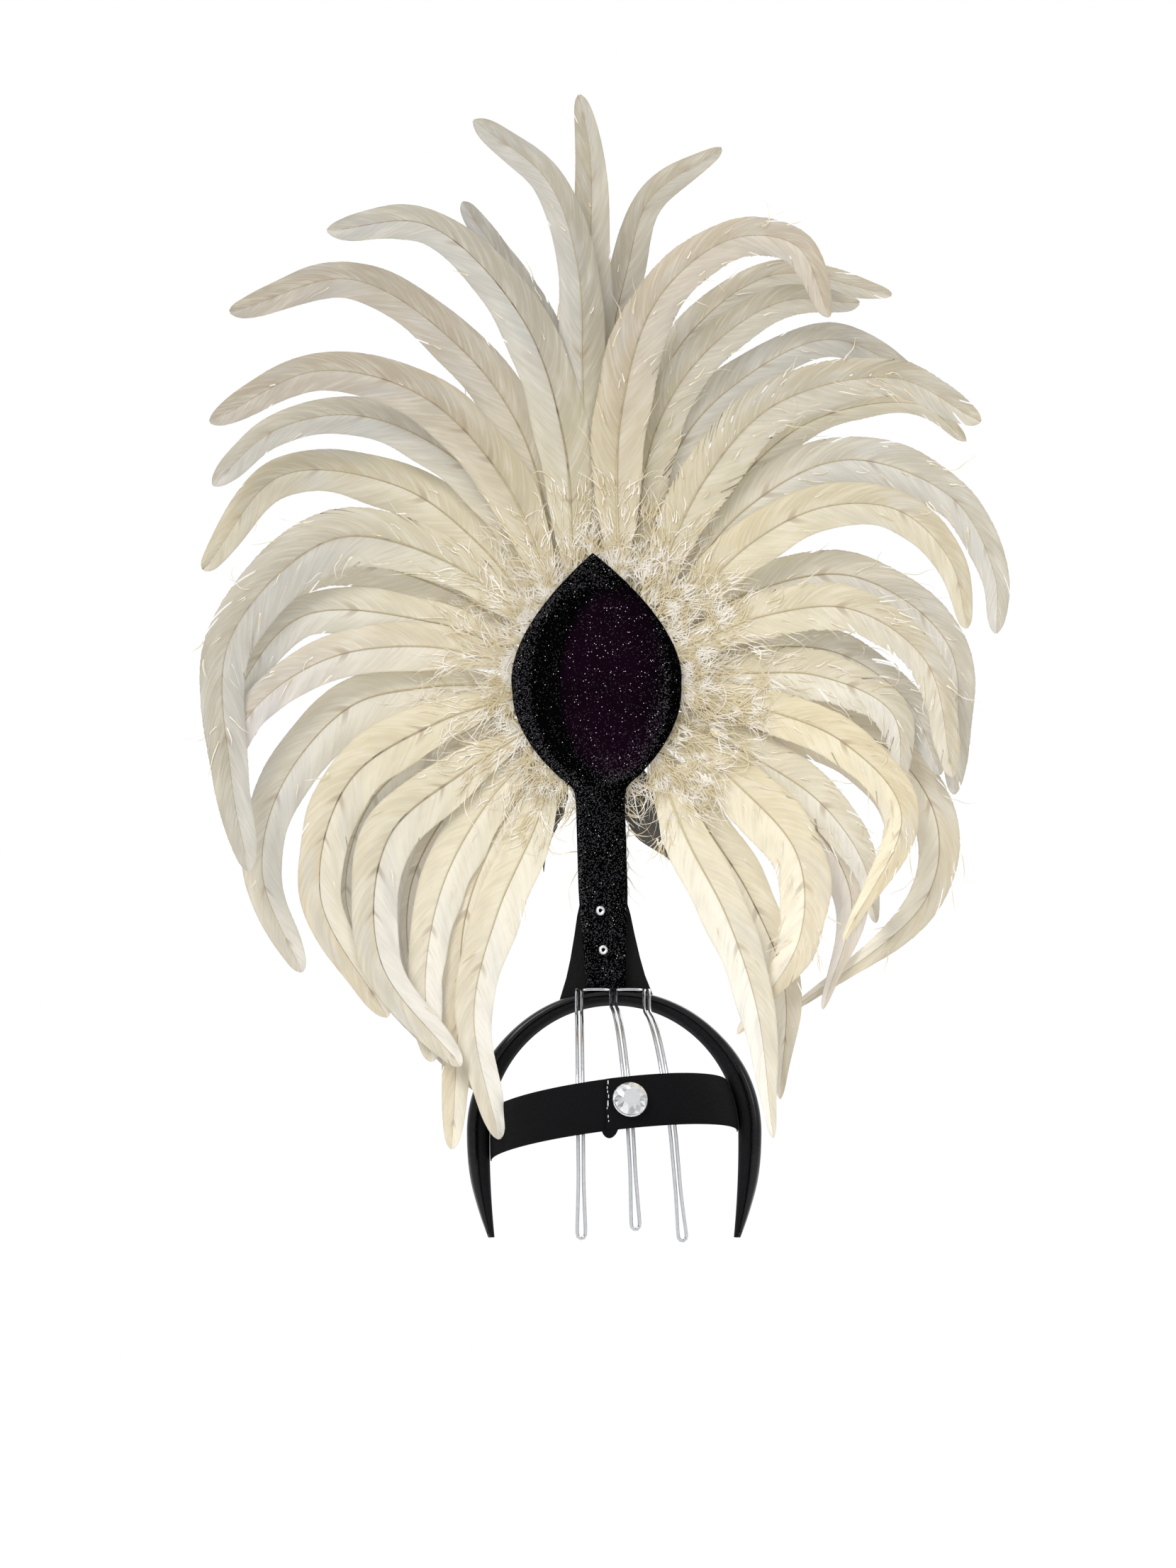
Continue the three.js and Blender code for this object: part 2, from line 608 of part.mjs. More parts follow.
function buttonGroup() {
  const at = (turn, across) => strapPoint(turn, across, strapThickness / 2 + overlapLift);
  const rise = buttonLevel - at(buttonTurn, 0).z;
  const place = at(buttonTurn, rise);
  const along = at(buttonTurn + 0.02, rise).sub(place);
  const up = at(buttonTurn, rise + 1).sub(place);
  const axis = new THREE.Vector3().crossVectors(along, up).normalize();
  if (axis.y > 0) axis.negate();
  const group = new THREE.Group();
  group.position.copy(place).addScaledVector(axis, gap);
  group.quaternion.setFromUnitVectors(new THREE.Vector3(0, 1, 0), axis);
  return group;
}

function settingGeometry() {
  const profile = [
    [0, 0],
    [settingRadius * 0.9, 0],
    [settingRadius, settingThickness * 0.5],
    [settingRadius * 0.96, settingThickness],
    [0, settingThickness],
  ];
  return new THREE.LatheGeometry(profile.map(([r, h]) => new THREE.Vector2(r, h)), 24);
}

// Cut stone: girdle, two rows of crown facets and a flat table
function stoneGeometry() {
  const foot = settingThickness + gap;
  const crown = stoneHeight - stoneGirdle;
  const profile = [
    [0, foot],
    [stoneRadius * 0.9, foot],
    [stoneRadius, foot + stoneGirdle],
    [stoneTable + (stoneRadius - stoneTable) * 0.6, foot + stoneGirdle + crown * 0.6],
    [stoneTable, foot + stoneHeight],
    [0, foot + stoneHeight],
  ];
  const points = profile.map(([r, h]) => new THREE.Vector2(r, h));
  return new THREE.LatheGeometry(points, stoneFacets).toNonIndexed();
}

// Wire

// A point over the back of the head: x, and a turn down from the top
function overHead(x, turn) {
  const narrow = Math.sqrt(1 - (x / headHalfWidth) ** 2);
  const high = Math.cos(turn) >= 0 ? bandInnerHeight : headNapeDrop;
  const y = -(headHalfDepth * narrow + wireHeadGap) * Math.sin(turn);
  const z = bandCentre + (high * narrow + wireHeadGap) * Math.cos(turn);
  return new THREE.Vector3(x, y, z);
}

// One strand's way down a prong, at a sideways offset that widens at the eye
function strand({ topSide, endSide, endLevel }, hand) {
  const crown = ornamentBottom - gap;
  const rim = -bandWidth / 2 - wireRim;
  const first = 22 * DEG;
  const narrow = Math.sqrt(1 - (endSide / headHalfWidth) ** 2);
  const last = Math.acos((endLevel - bandCentre) / (headNapeDrop * narrow + wireHeadGap));
  const steps = 13;
  const half = wirePairSpread / 2;
  const points = [
    new THREE.Vector3(topSide + hand * half, rim, crown + wireTop),
    new THREE.Vector3(topSide + hand * half, rim - 5, crown + wireTop - 2),
  ];
  for (let i = 0; i <= steps; i += 1) {
    const share = i / steps;
    const widen = smooth((share - 0.86) / 0.12) * (wireEyeSpread - wirePairSpread) / 2;
    const x = topSide + (endSide - topSide) * share ** 0.9;
    const point = overHead(x, first + (last - first) * share);
    point.x += hand * (half + widen);
    points.push(point);
  }
  return points;
}

// Half a turn of wire that joins the two strands at the eye
function eye(left, right) {
  const middle = left.clone().add(right).multiplyScalar(0.5);
  const side = left.clone().sub(middle);
  const down = new THREE.Vector3(0, 0.25, -1).normalize().multiplyScalar(side.length());
  return [30, 60, 90, 120, 150].map((angle) => middle.clone()
    .addScaledVector(side, Math.cos(angle * DEG))
    .addScaledVector(down, Math.sin(angle * DEG)));
}

function wireRoute() {
  return prongs.flatMap((prong) => {
    const goes = strand(prong, -1);
    const comes = strand(prong, 1);
    return [...goes, ...eye(goes.at(-1), comes.at(-1)), ...comes.reverse()];
  });
}

// A round wire through points, with rings that turn with it
function wireGeometry() {
  const points = wireRoute();
  const rings = [];
  let across = new THREE.Vector3(0, 0, 1);
  for (let i = 0; i < points.length; i += 1) {
    const before = points[Math.max(i - 1, 0)];
    const after = points[Math.min(i + 1, points.length - 1)];
    const tangent = after.clone().sub(before).normalize();
    across = across.addScaledVector(tangent, -across.dot(tangent)).normalize();
    const other = new THREE.Vector3().crossVectors(tangent, across);
    const ring = [];
    for (let j = 0; j < wireSides; j += 1) {
      const angle = 2 * Math.PI * j / wireSides;
      ring.push(points[i].clone()
        .addScaledVector(across, wireRadius * Math.cos(angle))
        .addScaledVector(other, wireRadius * Math.sin(angle)));
    }
    rings.push(ring);
    across = across.clone();
  }
  return loft(rings);
}

// Assembly

function piece(name, geometry, material, parent) {
  const mesh = new THREE.Mesh(geometry, material);
  mesh.name = name;
  parent.add(mesh);
  return mesh;
}

function number(i) {
  return String(i + 1).padStart(2, '0');
}

const headdress = new THREE.Group();

piece('headband_shell', bandLoft(shellSection), materials.shell, headdress);
piece('headband_padding', bandLoft(paddingSection), materials.padding, headdress);

headdress.add(ornament);
piece('stem_base', stemBase(), materials.plate, ornament);
piece('panel_core', plate(outline(coreHalf, footTop + gap, 28), coreFrom, coreTo), materials.plate, ornament);
piece('back_panel', backPanel(), materials.glitter, ornament);
const frontFrom = coreTo + gap;
const frontOutline = outline(frontHalf, ornamentBottom, 28);
piece('front_plate', plate(frontOutline, frontFrom, frontFrom + frontPlateThickness), materials.plate, ornament);
for (const { name, side, up } of rivets) {
  const rivet = piece(name, rivetGeometry(), materials.silver, ornament);
  rivet.position.set(side, panelBack - panelRelief(side, up) - gap, up);
}

leftFeathers.forEach((row, i) => piece(`left_feather_${number(i)}`, featherGeometry(row), materials.cream, ornament));
rightFeathers.forEach((row, i) => piece(`right_feather_${number(i)}`, featherGeometry(row), materials.cream, ornament));
darkFeathers.forEach((row) => piece(row.name, featherGeometry(row), materials.dark, ornament));

piece('strap_left', strapGeometry(-strapEndTurn, strapOverlapRight, () => 0), materials.elastic, headdress);
piece('strap_right', strapGeometry(strapOverlapLeft, strapEndTurn, rightLift), materials.elastic, headdress);

const button = buttonGroup();
headdress.add(button);
piece('stone_setting', settingGeometry(), materials.silver, button);
piece('rhinestone', stoneGeometry(), materials.stone, button);

piece('wire_prongs', wireGeometry(), materials.silver, headdress);

export default headdress;
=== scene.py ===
# %% [markdown]
# # A feathered headdress from behind
# A costume headdress stands on the crown of the head: a padded band, a glitter panel on a stem, and a fan
# of long cream tail feathers set round the panel. A wide elastic and a bent wire grip the back of the head.
#
# The CAD model already has the place and size of every piece. It could be given materials as it stands,
# but its feathers are plain blades and its cloth is hard. So this scene keeps the hard parts and lays a
# finer piece over each soft one, worked out from the same few numbers.

# %% Load the frame
import math
import bpy
import numpy as np
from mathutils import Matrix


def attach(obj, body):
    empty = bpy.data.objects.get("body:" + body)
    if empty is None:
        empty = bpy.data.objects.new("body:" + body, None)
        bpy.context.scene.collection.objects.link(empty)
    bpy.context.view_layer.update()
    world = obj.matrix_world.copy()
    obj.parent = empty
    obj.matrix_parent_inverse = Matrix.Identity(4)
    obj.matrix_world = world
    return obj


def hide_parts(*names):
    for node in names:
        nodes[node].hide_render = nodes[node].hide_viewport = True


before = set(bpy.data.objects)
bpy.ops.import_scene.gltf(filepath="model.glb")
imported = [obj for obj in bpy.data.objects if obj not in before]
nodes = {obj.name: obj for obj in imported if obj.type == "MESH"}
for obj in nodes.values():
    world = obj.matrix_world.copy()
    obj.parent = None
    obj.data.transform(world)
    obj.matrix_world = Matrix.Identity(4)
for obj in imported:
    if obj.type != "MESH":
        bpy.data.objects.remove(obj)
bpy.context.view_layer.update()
print("CAD nodes:", len(nodes))

# %% [markdown]
# ## Putting surfaces into meshes
# Everything below is worked out in millimetres as whole arrays of points. One helper turns points and
# faces into a mesh object in metres. Adding vertices one by one with an operator would also work, but
# arrays are far quicker and keep the formula in one place. Most pieces are closed grids: their columns
# go round, their two end rows are capped, and every face points outwards.

# %% A mesh from arrays
MM = 0.001


def put(name, points, faces, materials, uv=None, slots=None, smooth=True, body="root"):
    """A mesh object from points in millimetres and rows of corner numbers. uv has one pair for each point,
    and slots one material number for each face. It rides on a body of the frame, or on none."""
    mesh = bpy.data.meshes.new(name)
    corners = faces.tolist() if isinstance(faces, np.ndarray) else faces
    mesh.from_pydata((np.asarray(points, float) * MM).tolist(), [], corners)
    for material in materials:
        mesh.materials.append(material)
    if slots is not None:
        mesh.polygons.foreach_set("material_index", np.asarray(slots, np.int32))
    mesh.polygons.foreach_set("use_smooth", np.full(len(mesh.polygons), smooth))
    if uv is not None:
        corner = np.empty(len(mesh.loops), np.int32)
        mesh.loops.foreach_get("vertex_index", corner)
        layer = mesh.uv_layers.new(name="UVMap")
        layer.data.foreach_set("uv", np.asarray(uv, float)[corner].ravel())
    mesh.update()
    piece = bpy.data.objects.new(name, mesh)
    bpy.context.scene.collection.objects.link(piece)
    if body:
        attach(piece, body)
    return piece


def ring_faces(rows, columns):
    """Four-cornered faces between rings of points, the last column joined to the first."""
    i, j = np.meshgrid(np.arange(rows - 1), np.arange(columns), indexing="ij")
    a = i * columns + j
    b = i * columns + (j + 1) % columns
    return np.stack([a, b, b + columns, a + columns], -1).reshape(-1, 4)


def capped(rows, columns):
    """Faces of a tube with both ends closed."""
    ends = [list(range(columns)), list(range((rows - 1) * columns, rows * columns))[::-1]]
    return ring_faces(rows, columns).tolist() + ends


def turn_outwards(piece):
    """Turns every face of a closed mesh round if the mesh's volume comes out negative."""
    mesh = piece.data
    mesh.calc_loop_triangles()
    corners = np.empty(3 * len(mesh.loop_triangles), np.int32)
    mesh.loop_triangles.foreach_get("vertices", corners)
    points = np.empty(3 * len(mesh.vertices))
    mesh.vertices.foreach_get("co", points)
    a, b, c = points.reshape(-1, 3)[corners.reshape(-1, 3)].transpose(1, 0, 2)
    if np.einsum("ij,ij->i", a, np.cross(b, c)).sum() < 0:
        mesh.flip_normals()
    mesh.update()


def put_closed(name, points, look, uv=None):
    """A closed piece from a grid of points with one place for each row and column."""
    rows, columns = points.shape[:2]
    pairs = None if uv is None else uv.reshape(-1, 2)
    piece = put(name, points.reshape(-1, 3), capped(rows, columns), [look.material], pairs)
    turn_outwards(piece)
    return piece


def tint_points(piece, colours):
    """Keeps a colour with each point, which a look reads as the attribute tint."""
    tone = piece.data.attributes.new("tint", "FLOAT_COLOR", "POINT")
    tone.data.foreach_set("color", colours.ravel())


# %% Curves through given places


def unit(arrows):
    """Arrows made one long."""
    return arrows / np.linalg.norm(arrows, axis=-1, keepdims=True)


def turns(count):
    """Even angles once round, as one row."""
    return np.linspace(0, 2 * np.pi, count, endpoint=False)[None, :]


def smoothed(x):
    """A soft step: 0 below 0, 1 above 1, and 3x² - 2x³ between them."""
    x = np.clip(x, 0, 1)
    return x * x * (3 - 2 * x)


def read(rows, at):
    """The smooth curve through rows of (place, value): between two rows runs a cubic whose slope at each
    row is the slope between that row's neighbours."""
    place, value = np.array(rows, float).T
    at = np.asarray(at, float)
    last = len(place) - 1
    before = np.maximum(np.arange(last + 1) - 1, 0)
    after = np.minimum(np.arange(last + 1) + 1, last)
    slope = (value[after] - value[before]) / (place[after] - place[before])
    i = np.clip(np.searchsorted(place, at, side="left") - 1, 0, last - 1)
    span = place[i + 1] - place[i]
    t = np.clip((at - place[i]) / span, 0, 1)
    rise = (2 * t**3 - 3 * t**2 + 1) * value[i] + (3 * t**2 - 2 * t**3) * value[i + 1]
    return rise + span * ((t**3 - 2 * t**2 + t) * slope[i] + (t**3 - t**2) * slope[i + 1])


def smooth_route(places, count):
    """Even steps along a smooth curve through places: between two of them a cubic whose slopes depend on
    the roots of the neighbouring distances, so that it doesn't loop."""
    p = np.asarray(places, float)
    p = np.vstack([2 * p[0] - p[1], p, 2 * p[-1] - p[-2]])
    gap = np.sqrt(np.linalg.norm(np.diff(p, axis=0), axis=1))
    fine = np.linspace(0, len(p) - 3, 600)
    i = np.minimum(fine.astype(int), len(p) - 4)
    t = (fine - i)[:, None]
    a, b, c, d = p[i], p[i + 1], p[i + 2], p[i + 3]
    g0, g1, g2 = gap[i][:, None], gap[i + 1][:, None], gap[i + 2][:, None]
    s1 = ((b - a) / g0 - (c - a) / (g0 + g1) + (c - b) / g1) * g1
    s2 = ((c - b) / g1 - (d - b) / (g1 + g2) + (d - c) / g2) * g1
    curve = b + s1 * t + (-3 * b + 3 * c - 2 * s1 - s2) * t**2 + (2 * b - 2 * c + s1 + s2) * t**3
    reach = np.r_[0, np.cumsum(np.linalg.norm(np.diff(curve, axis=0), axis=1))]
    even = np.linspace(0, reach[-1], count)
    return np.stack([np.interp(even, reach, curve[:, k]) for k in range(p.shape[1])], -1), reach[-1]


print("half way up the soft step:", float(smoothed(0.5)))

# %% [markdown]
# ## Writing materials as formulas
# A material is a web of nodes. It could be wired by hand, but sums such as 1 - mask read better as
# Python. A Value holds a socket, and its operators add Math nodes. Every other node comes from one method.
# Many of the finishes here are plain but not even, and one function makes those.

# %% Values and looks


class Value:
    """A number that changes over a surface; sums with it add Math nodes."""

    def __init__(self, tree, socket):
        self.tree = tree
        self.socket = socket

    def math(self, kind, *others, flip=False):
        node = self.tree.nodes.new("ShaderNodeMath")
        node.operation = kind
        terms = [self, *others]
        if flip:
            terms.reverse()
        for slot, term in zip(node.inputs, terms):
            if isinstance(term, Value):
                self.tree.links.new(term.socket, slot)
            else:
                slot.default_value = term
        return Value(self.tree, node.outputs[0])

    def __add__(self, other):
        return self.math("ADD", other)

    def __sub__(self, other):
        return self.math("SUBTRACT", other)

    def __rsub__(self, other):
        return self.math("SUBTRACT", other, flip=True)

    def __mul__(self, other):
        return self.math("MULTIPLY", other)

    def __truediv__(self, other):
        return self.math("DIVIDE", other)

    def __pow__(self, other):
        return self.math("POWER", other)

    def __gt__(self, other):
        return self.math("GREATER_THAN", other)

    __radd__ = __add__
    __rmul__ = __mul__

    def held(self):
        """The value kept between 0 and 1."""
        out = self.math("ADD", 0.0)
        out.socket.node.use_clamp = True
        return out

    def step(self, low, high):
        """A straight ramp from 0 at low to 1 at high."""
        return ((self - low) / (high - low)).held()


class Web:
    """The nodes of a material or of the world."""

    def __init__(self, tree):
        self.tree = tree

    def node(self, kind, values=(), output=0, **settings):
        """Adds a node: its settings first, then its sockets by name or number, and gives one output."""
        node = self.tree.nodes.new("ShaderNode" + kind)
        for key, value in settings.items():
            setattr(node, key, value)
        for key, value in dict(values).items():
            if isinstance(value, Value):
                self.tree.links.new(value.socket, node.inputs[key])
            else:
                node.inputs[key].default_value = value
        return Value(self.tree, node.outputs[output])

    def parts(self, vector):
        """The three numbers of a vector."""
        first = self.node("SeparateXYZ", {0: vector})
        return [Value(self.tree, first.socket.node.outputs[k]) for k in range(3)]

    def end(self, shader, output):
        """Makes a shader what the output shows."""
        self.tree.links.new(shader.socket, self.tree.nodes[output].inputs[0])


class Look(Web):
    """One material: a Principled surface whose sockets take constants or values."""

    def __init__(self, name, **constants):
        self.material = bpy.data.materials.new(name)
        self.material.use_nodes = True
        super().__init__(self.material.node_tree)
        self.surface = self.tree.nodes["Principled BSDF"]
        for key, value in constants.items():
            self.surface.inputs[key.replace("_", " ")].default_value = value

    def place(self):
        return self.node("TexCoord", output="Object")

    def uv(self):
        return self.node("UVMap", uv_map="UVMap")

    def tint(self, output):
        return self.node("Attribute", output=output, attribute_name="tint")

    def vector(self, *parts):
        return self.node("CombineXYZ", dict(enumerate(parts)))

    def noise(self, where, scale, detail=3.0):
        return self.node("TexNoise", {"Vector": where, "Scale": scale, "Detail": detail})

    def blend(self, share, first, second):
        """One colour laid over another by a share."""
        first, second = (c if isinstance(c, Value) else (*c, 1) for c in (first, second))
        return self.node("Mix", {0: share, 6: first, 7: second}, output=2, data_type="RGBA")

    def bump(self, height, distance, strength):
        values = {"Height": height, "Distance": distance, "Strength": strength}
        self.set("Normal", self.node("Bump", values))

    def set(self, name, value):
        self.tree.links.new(value.socket, self.surface.inputs[name])


def mottled(name, grain, detail, first, second, dent=None, rough=None, **constants):
    """A finish whose colour wanders between two tones with a noise. The same noise can dent it, by a
    distance and a strength, and change its roughness, by a share and a base."""
    look = Look(name, **constants)
    tone = look.noise(look.place(), grain, detail)
    look.set("Base Color", look.blend(tone, first, second))
    if dent:
        look.bump(tone, *dent)
    if rough:
        look.set("Roughness", tone * rough[0] + rough[1])
    return look


print("ready to write looks")

# %% [markdown]
# ## The camera
# The camera stands behind the wearer a little below the crown and looks up by ten degrees, which is how
# the photograph was taken. A longer lens from farther off would flatten the fan more, so both its place
# and its lens come from how the band, the strap and the panel line up.

# %% Camera
lens = bpy.data.cameras.new("camera")
lens.lens = 68.13
lens.sensor_width = 36
lens.clip_end = 100
camera = bpy.data.objects.new("camera", lens)
camera.location = (-0.0157, -1.7959, -0.1809)
camera.rotation_euler = (math.radians(100), 0, 0)
bpy.context.scene.collection.objects.link(camera)
bpy.context.scene.camera = camera
print("camera at", [round(c, 3) for c in camera.location])

# %% [markdown]
# ## Floor and light
# A pale floor lies well below. The air round the object is a light tent, bright above and dimmer at eye
# level, so that black cloth stays black and metal has something dark to reflect. One broad sun high on
# the left shapes the feathers. Lamps all round would be simpler, but would flatten every vane.

# %% Floor
floor_look = mottled("studio_floor", 3.0, 3.0, (0.82, 0.82, 0.815), (0.814, 0.814, 0.8105), Roughness=0.95)


def floor_points(radius, level, rows=10, columns=64):
    """Points of a flat disc: rings whose radius grows as the square, so they are closer in the middle."""
    ring = radius * np.linspace(0.02, 1, rows)[:, None] ** 2
    turn = turns(columns)
    disc = np.stack([ring * np.cos(turn), ring * np.sin(turn), np.full((rows, columns), level)], -1)
    return disc.reshape(-1, 3)


disc_faces = ring_faces(10, 64)[:, ::-1].tolist() + [list(range(64))]
floor = put("floor", floor_points(14000, -520), disc_faces, [floor_look.material], body=None)
print("floor:", len(disc_faces), "faces")

# %% Tent of light
world = bpy.data.worlds.new("tent")
world.use_nodes = True
bpy.context.scene.world = world
tent = Web(world.node_tree)
height = tent.parts(tent.node("TexCoord", output="Generated"))[2]
brightness = height.step(-0.1, 0.9) * 0.75 + 0.34
air = tent.node("Background", {"Color": (0.98, 0.99, 1, 1), "Strength": brightness})
seen = tent.node("Background", {"Color": (1, 1, 1, 1)})
straight = tent.node("LightPath", output="Is Camera Ray")
tent.end(tent.node("MixShader", {0: straight, 1: air, 2: seen}), "World Output")
bpy.context.scene.view_settings.view_transform = "Standard"


def light(kind, name, place, aim, power, tone, **size):
    """A light at a place, turned to face aim."""
    data = bpy.data.lights.new(name, kind)
    data.energy = power
    data.color = tone
    for key, value in size.items():
        setattr(data, key, value)
    lamp = bpy.data.objects.new(name, data)
    lamp.location = place
    x, y, z = np.array(place) - np.array(aim)
    lamp.rotation_euler = (math.atan2(math.hypot(x, y), z), 0, math.atan2(x, -y))
    bpy.context.scene.collection.objects.link(lamp)


light("SUN", "key", (-1.6, -2.0, 2.2), (0, 0, 0.2), 1.9, (1.0, 0.985, 0.96), angle=0.5)
light("AREA", "strip", (1.5, -1.5, 0.5), (0, 0, 0), 5, (1, 1, 1), size=0.5)
light("AREA", "back", (0.4, 2.2, 1.4), (0, 0, 0.2), 12, (1.0, 0.98, 0.94), size=1.6)
print("lights:", len(bpy.data.lights))

# %% [markdown]
# ## The headband
# The band is a covered arch from ear to ear. Its outer half is glossy and its inner half is a matte pad.
# An ellipse bent into an arch gives its inner face, and a rounded section is carried along it. A
# bevelled curve would also do, but the band gets thinner and narrower towards its ends, and a surface
# of two parameters can say that directly.

# %% The arch
inner_half = 75.0
inner_high = 78.0
leg_drop = 61.5
leg_high = 210.0
band_thick = 13.5
band_wide = 30.0
thick_rows = [(0, 0.56), (0.33, 0.78), (0.5, 0.96), (0.66, 1), (0.8, 0.89), (0.92, 0.56), (1, 0.27)]
wide_rows = [(0, 1), (0.33, 1), (0.5, 1), (0.66, 0.98), (0.8, 0.9), (0.92, 0.74), (1, 0.5)]
leg_turn = math.acos(-leg_drop / leg_high)


def arch(turn):
    """Places (x, z) on the inner face and the direction out of it: half an ellipse above the centre, and
    part of a taller one of the same width below it."""
    high = np.where(np.cos(turn) >= 0, inner_high, leg_high)
    place = np.stack([inner_half * np.sin(turn), -inner_high + high * np.cos(turn)], -1)
    return place, unit(np.stack([high * np.sin(turn), inner_half * np.cos(turn)], -1))


def band_size(turn):
    """Thickness and half width of the band at a turn, read by how far along the arch the turn is."""
    quarter = math.pi / 4 * (inner_half + inner_high)
    size = np.abs(turn)
    below = np.where(size > np.pi / 2, -leg_high * np.cos(size), 0)
    along = (np.minimum(size / (np.pi / 2), 1) * quarter + below) / (quarter + leg_drop)
    return band_thick * read(thick_rows, along), band_wide / 2 * read(wide_rows, along)


def rounded(share, power):
    """A cosine pressed towards a square by a power below 1."""
    return np.sign(share) * np.abs(share) ** power


def shell_section(thick, wide, angle):
    """A dome on a flat foot: the upper half of a squarish oval."""
    low = thick * 0.5 + 0.3
    rise = rounded(np.maximum(np.sin(angle), 0), 0.62) * (thick - low)
    return low + rise, wide * -rounded(np.cos(angle), 0.55)


def pad_section(thick, wide, angle):
    """A flat top under the shell and a fuller dome that lies on the head."""
    deep = thick * 0.5
    sink = rounded(np.maximum(np.sin(angle), 0), 0.5) * deep
    return deep - sink, 0.94 * wide * rounded(np.cos(angle), 0.45)


def band_piece(name, section, look, rows=141, columns=40):
    """A closed band: a section (out, across) of the local thickness and half width, carried along the
    arch."""
    turn = leg_turn * np.linspace(-1, 1, rows)[:, None]
    place, out = arch(turn[:, 0])
    thick, wide = band_size(turn)
    u, v = section(thick, wide, turns(columns))
    points = np.stack([place[:, :1] + out[:, :1] * u, v, place[:, 1:] + out[:, 1:] * u], -1)
    reach = turn * (inner_half + inner_high) / 2
    uv = np.stack(np.broadcast_arrays(reach, np.linspace(0, 60, columns)[None, :]), -1)
    return put_closed(name, points, look, uv / 500 + 0.5)


# %% Band looks
gloss = mottled(
    "band_gloss", 90.0, 4.0, (0.003, 0.003, 0.0035), (0.008, 0.008, 0.009), rough=(0.18, 0.16),
    Specular_IOR_Level=0.25
)
gloss.bump(gloss.noise(gloss.place(), 240.0, 2.0), 0.0004, 0.35)
pad_cloth = mottled(
    "band_pad", 900.0, 2.0, (0.004, 0.004, 0.0045), (0.016, 0.016, 0.018), dent=(0.0004, 0.5),
    Roughness=0.9, Specular_IOR_Level=0.06
)

shell = band_piece("band_shell", shell_section, gloss)
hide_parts("headband_shell")
pad = band_piece("band_padding", pad_section, pad_cloth)
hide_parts("headband_padding")
print("band:", len(shell.data.polygons), "faces of shell")

# %% [markdown]
# ## The ornament's own upright frame
# Panel, stem and feathers were built straight up and then leaned a little to the wearer's left. It is
# easiest to work the same way here: points are made in the ornament's frame and leaned at the end.

# %% Lean and panel outline
lean = math.radians(1.7)
foot_side = -4.5
stem_foot = 7.86
panel_half, panel_top, panel_waist, panel_neck = 52.5, 280.0, 201.0, 124.0
shoulder_rows = [(0, 0), (0.11, 0.05), (0.22, 0.29), (0.38, 0.58), (0.56, 0.81), (0.76, 0.96), (1, 1)]


def leaned(points):
    """Turns points of the ornament's frame by its lean and moves them to its foot."""
    x, y, z = np.moveaxis(np.asarray(points, float), -1, 0)
    across = foot_side + x * math.cos(lean) - z * math.sin(lean)
    return np.stack([across, y, x * math.sin(lean) + z * math.cos(lean)], -1)


def panel_width(z):
    """Half the panel's width at a level: 1 - u^1.75 above the waist, the shoulder's curve down to the
    neck, and a stem that tapers to its foot."""
    z = np.asarray(z, float)
    crown = panel_half * (1 - np.clip((z - panel_waist) / (panel_top - panel_waist), 0, 1) ** 1.75)
    share = read(shoulder_rows, np.clip((z - panel_neck) / (panel_waist - panel_neck), 0, 1))
    shoulder = 15 + (panel_half - 15) * share
    stem = 12 + 3 * smoothed((z - stem_foot) / (75 - stem_foot))
    return np.where(z >= panel_waist, crown, np.where(z >= panel_neck, shoulder, stem))


def panel_slope(z):
    """How much longer a sloping edge is than its height."""
    return np.hypot(1, panel_width(z + 0.5) - panel_width(z - 0.5))


def core_width(z):
    """Half the width of the board between the panels, which lies 8 mm inside the outline."""
    almond = np.where(z >= panel_neck, panel_width(z) - 8 * panel_slope(z), 0)
    stem = np.where(z < panel_waist, np.minimum(panel_width(z), 15) - 3, 0)
    return np.maximum(np.maximum(almond, stem), 0)


print("panel is", 2 * float(panel_width(panel_waist)), "mm across at its waist")

# %% [markdown]
# ## The glitter panel
# The panel is padded cloth glued over a board: a thick rolled rim stands up all round a dished middle,
# and fine silver glitter sits in black cloth with a plum tint. Cloth simulation could puff it, but the
# rim is a tight roll round a cord, so a relief formula over the outline gives it more exactly. Glitter
# is two grids of cells: fine ones that make a grey haze, and a few bright ones painted near white as
# painted glints of the flakes. The haze is painted light: it is crowded on the left of the rim, on the
# lower right slope of the dish and on the stem's edges, where light from the left falls. The plum tint
# is kept to a middle shifted right, so the left side of the dish stays black as painted shade.

# %% Panel surface


def panel_relief(x, z):
    """How far the cloth stands out: a round rise over half the rim's width, then a soft fall into the
    dished middle, with slight waves along the rim where the cloth was pulled."""
    inside = (panel_width(z) - np.abs(x)) / panel_slope(z)
    rim = np.minimum(10, np.maximum(panel_width(z), 12) / 2)
    rise = np.sqrt(np.maximum(1 - (1 - np.clip(inside / (rim / 2), 0, 1)) ** 2, 0))
    fall = smoothed((inside - rim / 2) / (rim * 0.6))
    pulled = 0.22 * np.sin(z * 0.31 + 2.0 * np.sin(x * 0.06)) * rise * (1 - fall * 0.7)
    slack = 0.35 * np.sin(x * 0.11 + 1.3) * np.sin(z * 0.07 + 0.4) * fall
    dish = smoothed((inside - rim) / 18)
    seam = 0.5 * np.exp(-((z - 77 + 0.02 * x) / 0.7) ** 2)
    return 1.6 + 5.4 * rise - 3.2 * fall - dish + pulled * 0.6 + slack - seam


def panel_points(rows=220, columns=72):
    """The padded face as levels closer together at the tip, each with columns closer together at the
    edges (the sine of an even step), and a flat back."""
    z = stem_foot + (panel_top - 0.05 - stem_foot) * np.sin(np.linspace(0, np.pi / 2, rows))
    share = np.sin(np.linspace(-np.pi / 2, np.pi / 2, columns))
    x = panel_width(z)[:, None] * share[None, :]
    level = np.broadcast_to(z[:, None], x.shape)
    face = np.stack([x, -6 - panel_relief(x, level), level], -1)
    back = np.stack([x, np.full_like(x, -6.0), level], -1)[:, ::-1]
    return np.concatenate([face, back], 1)


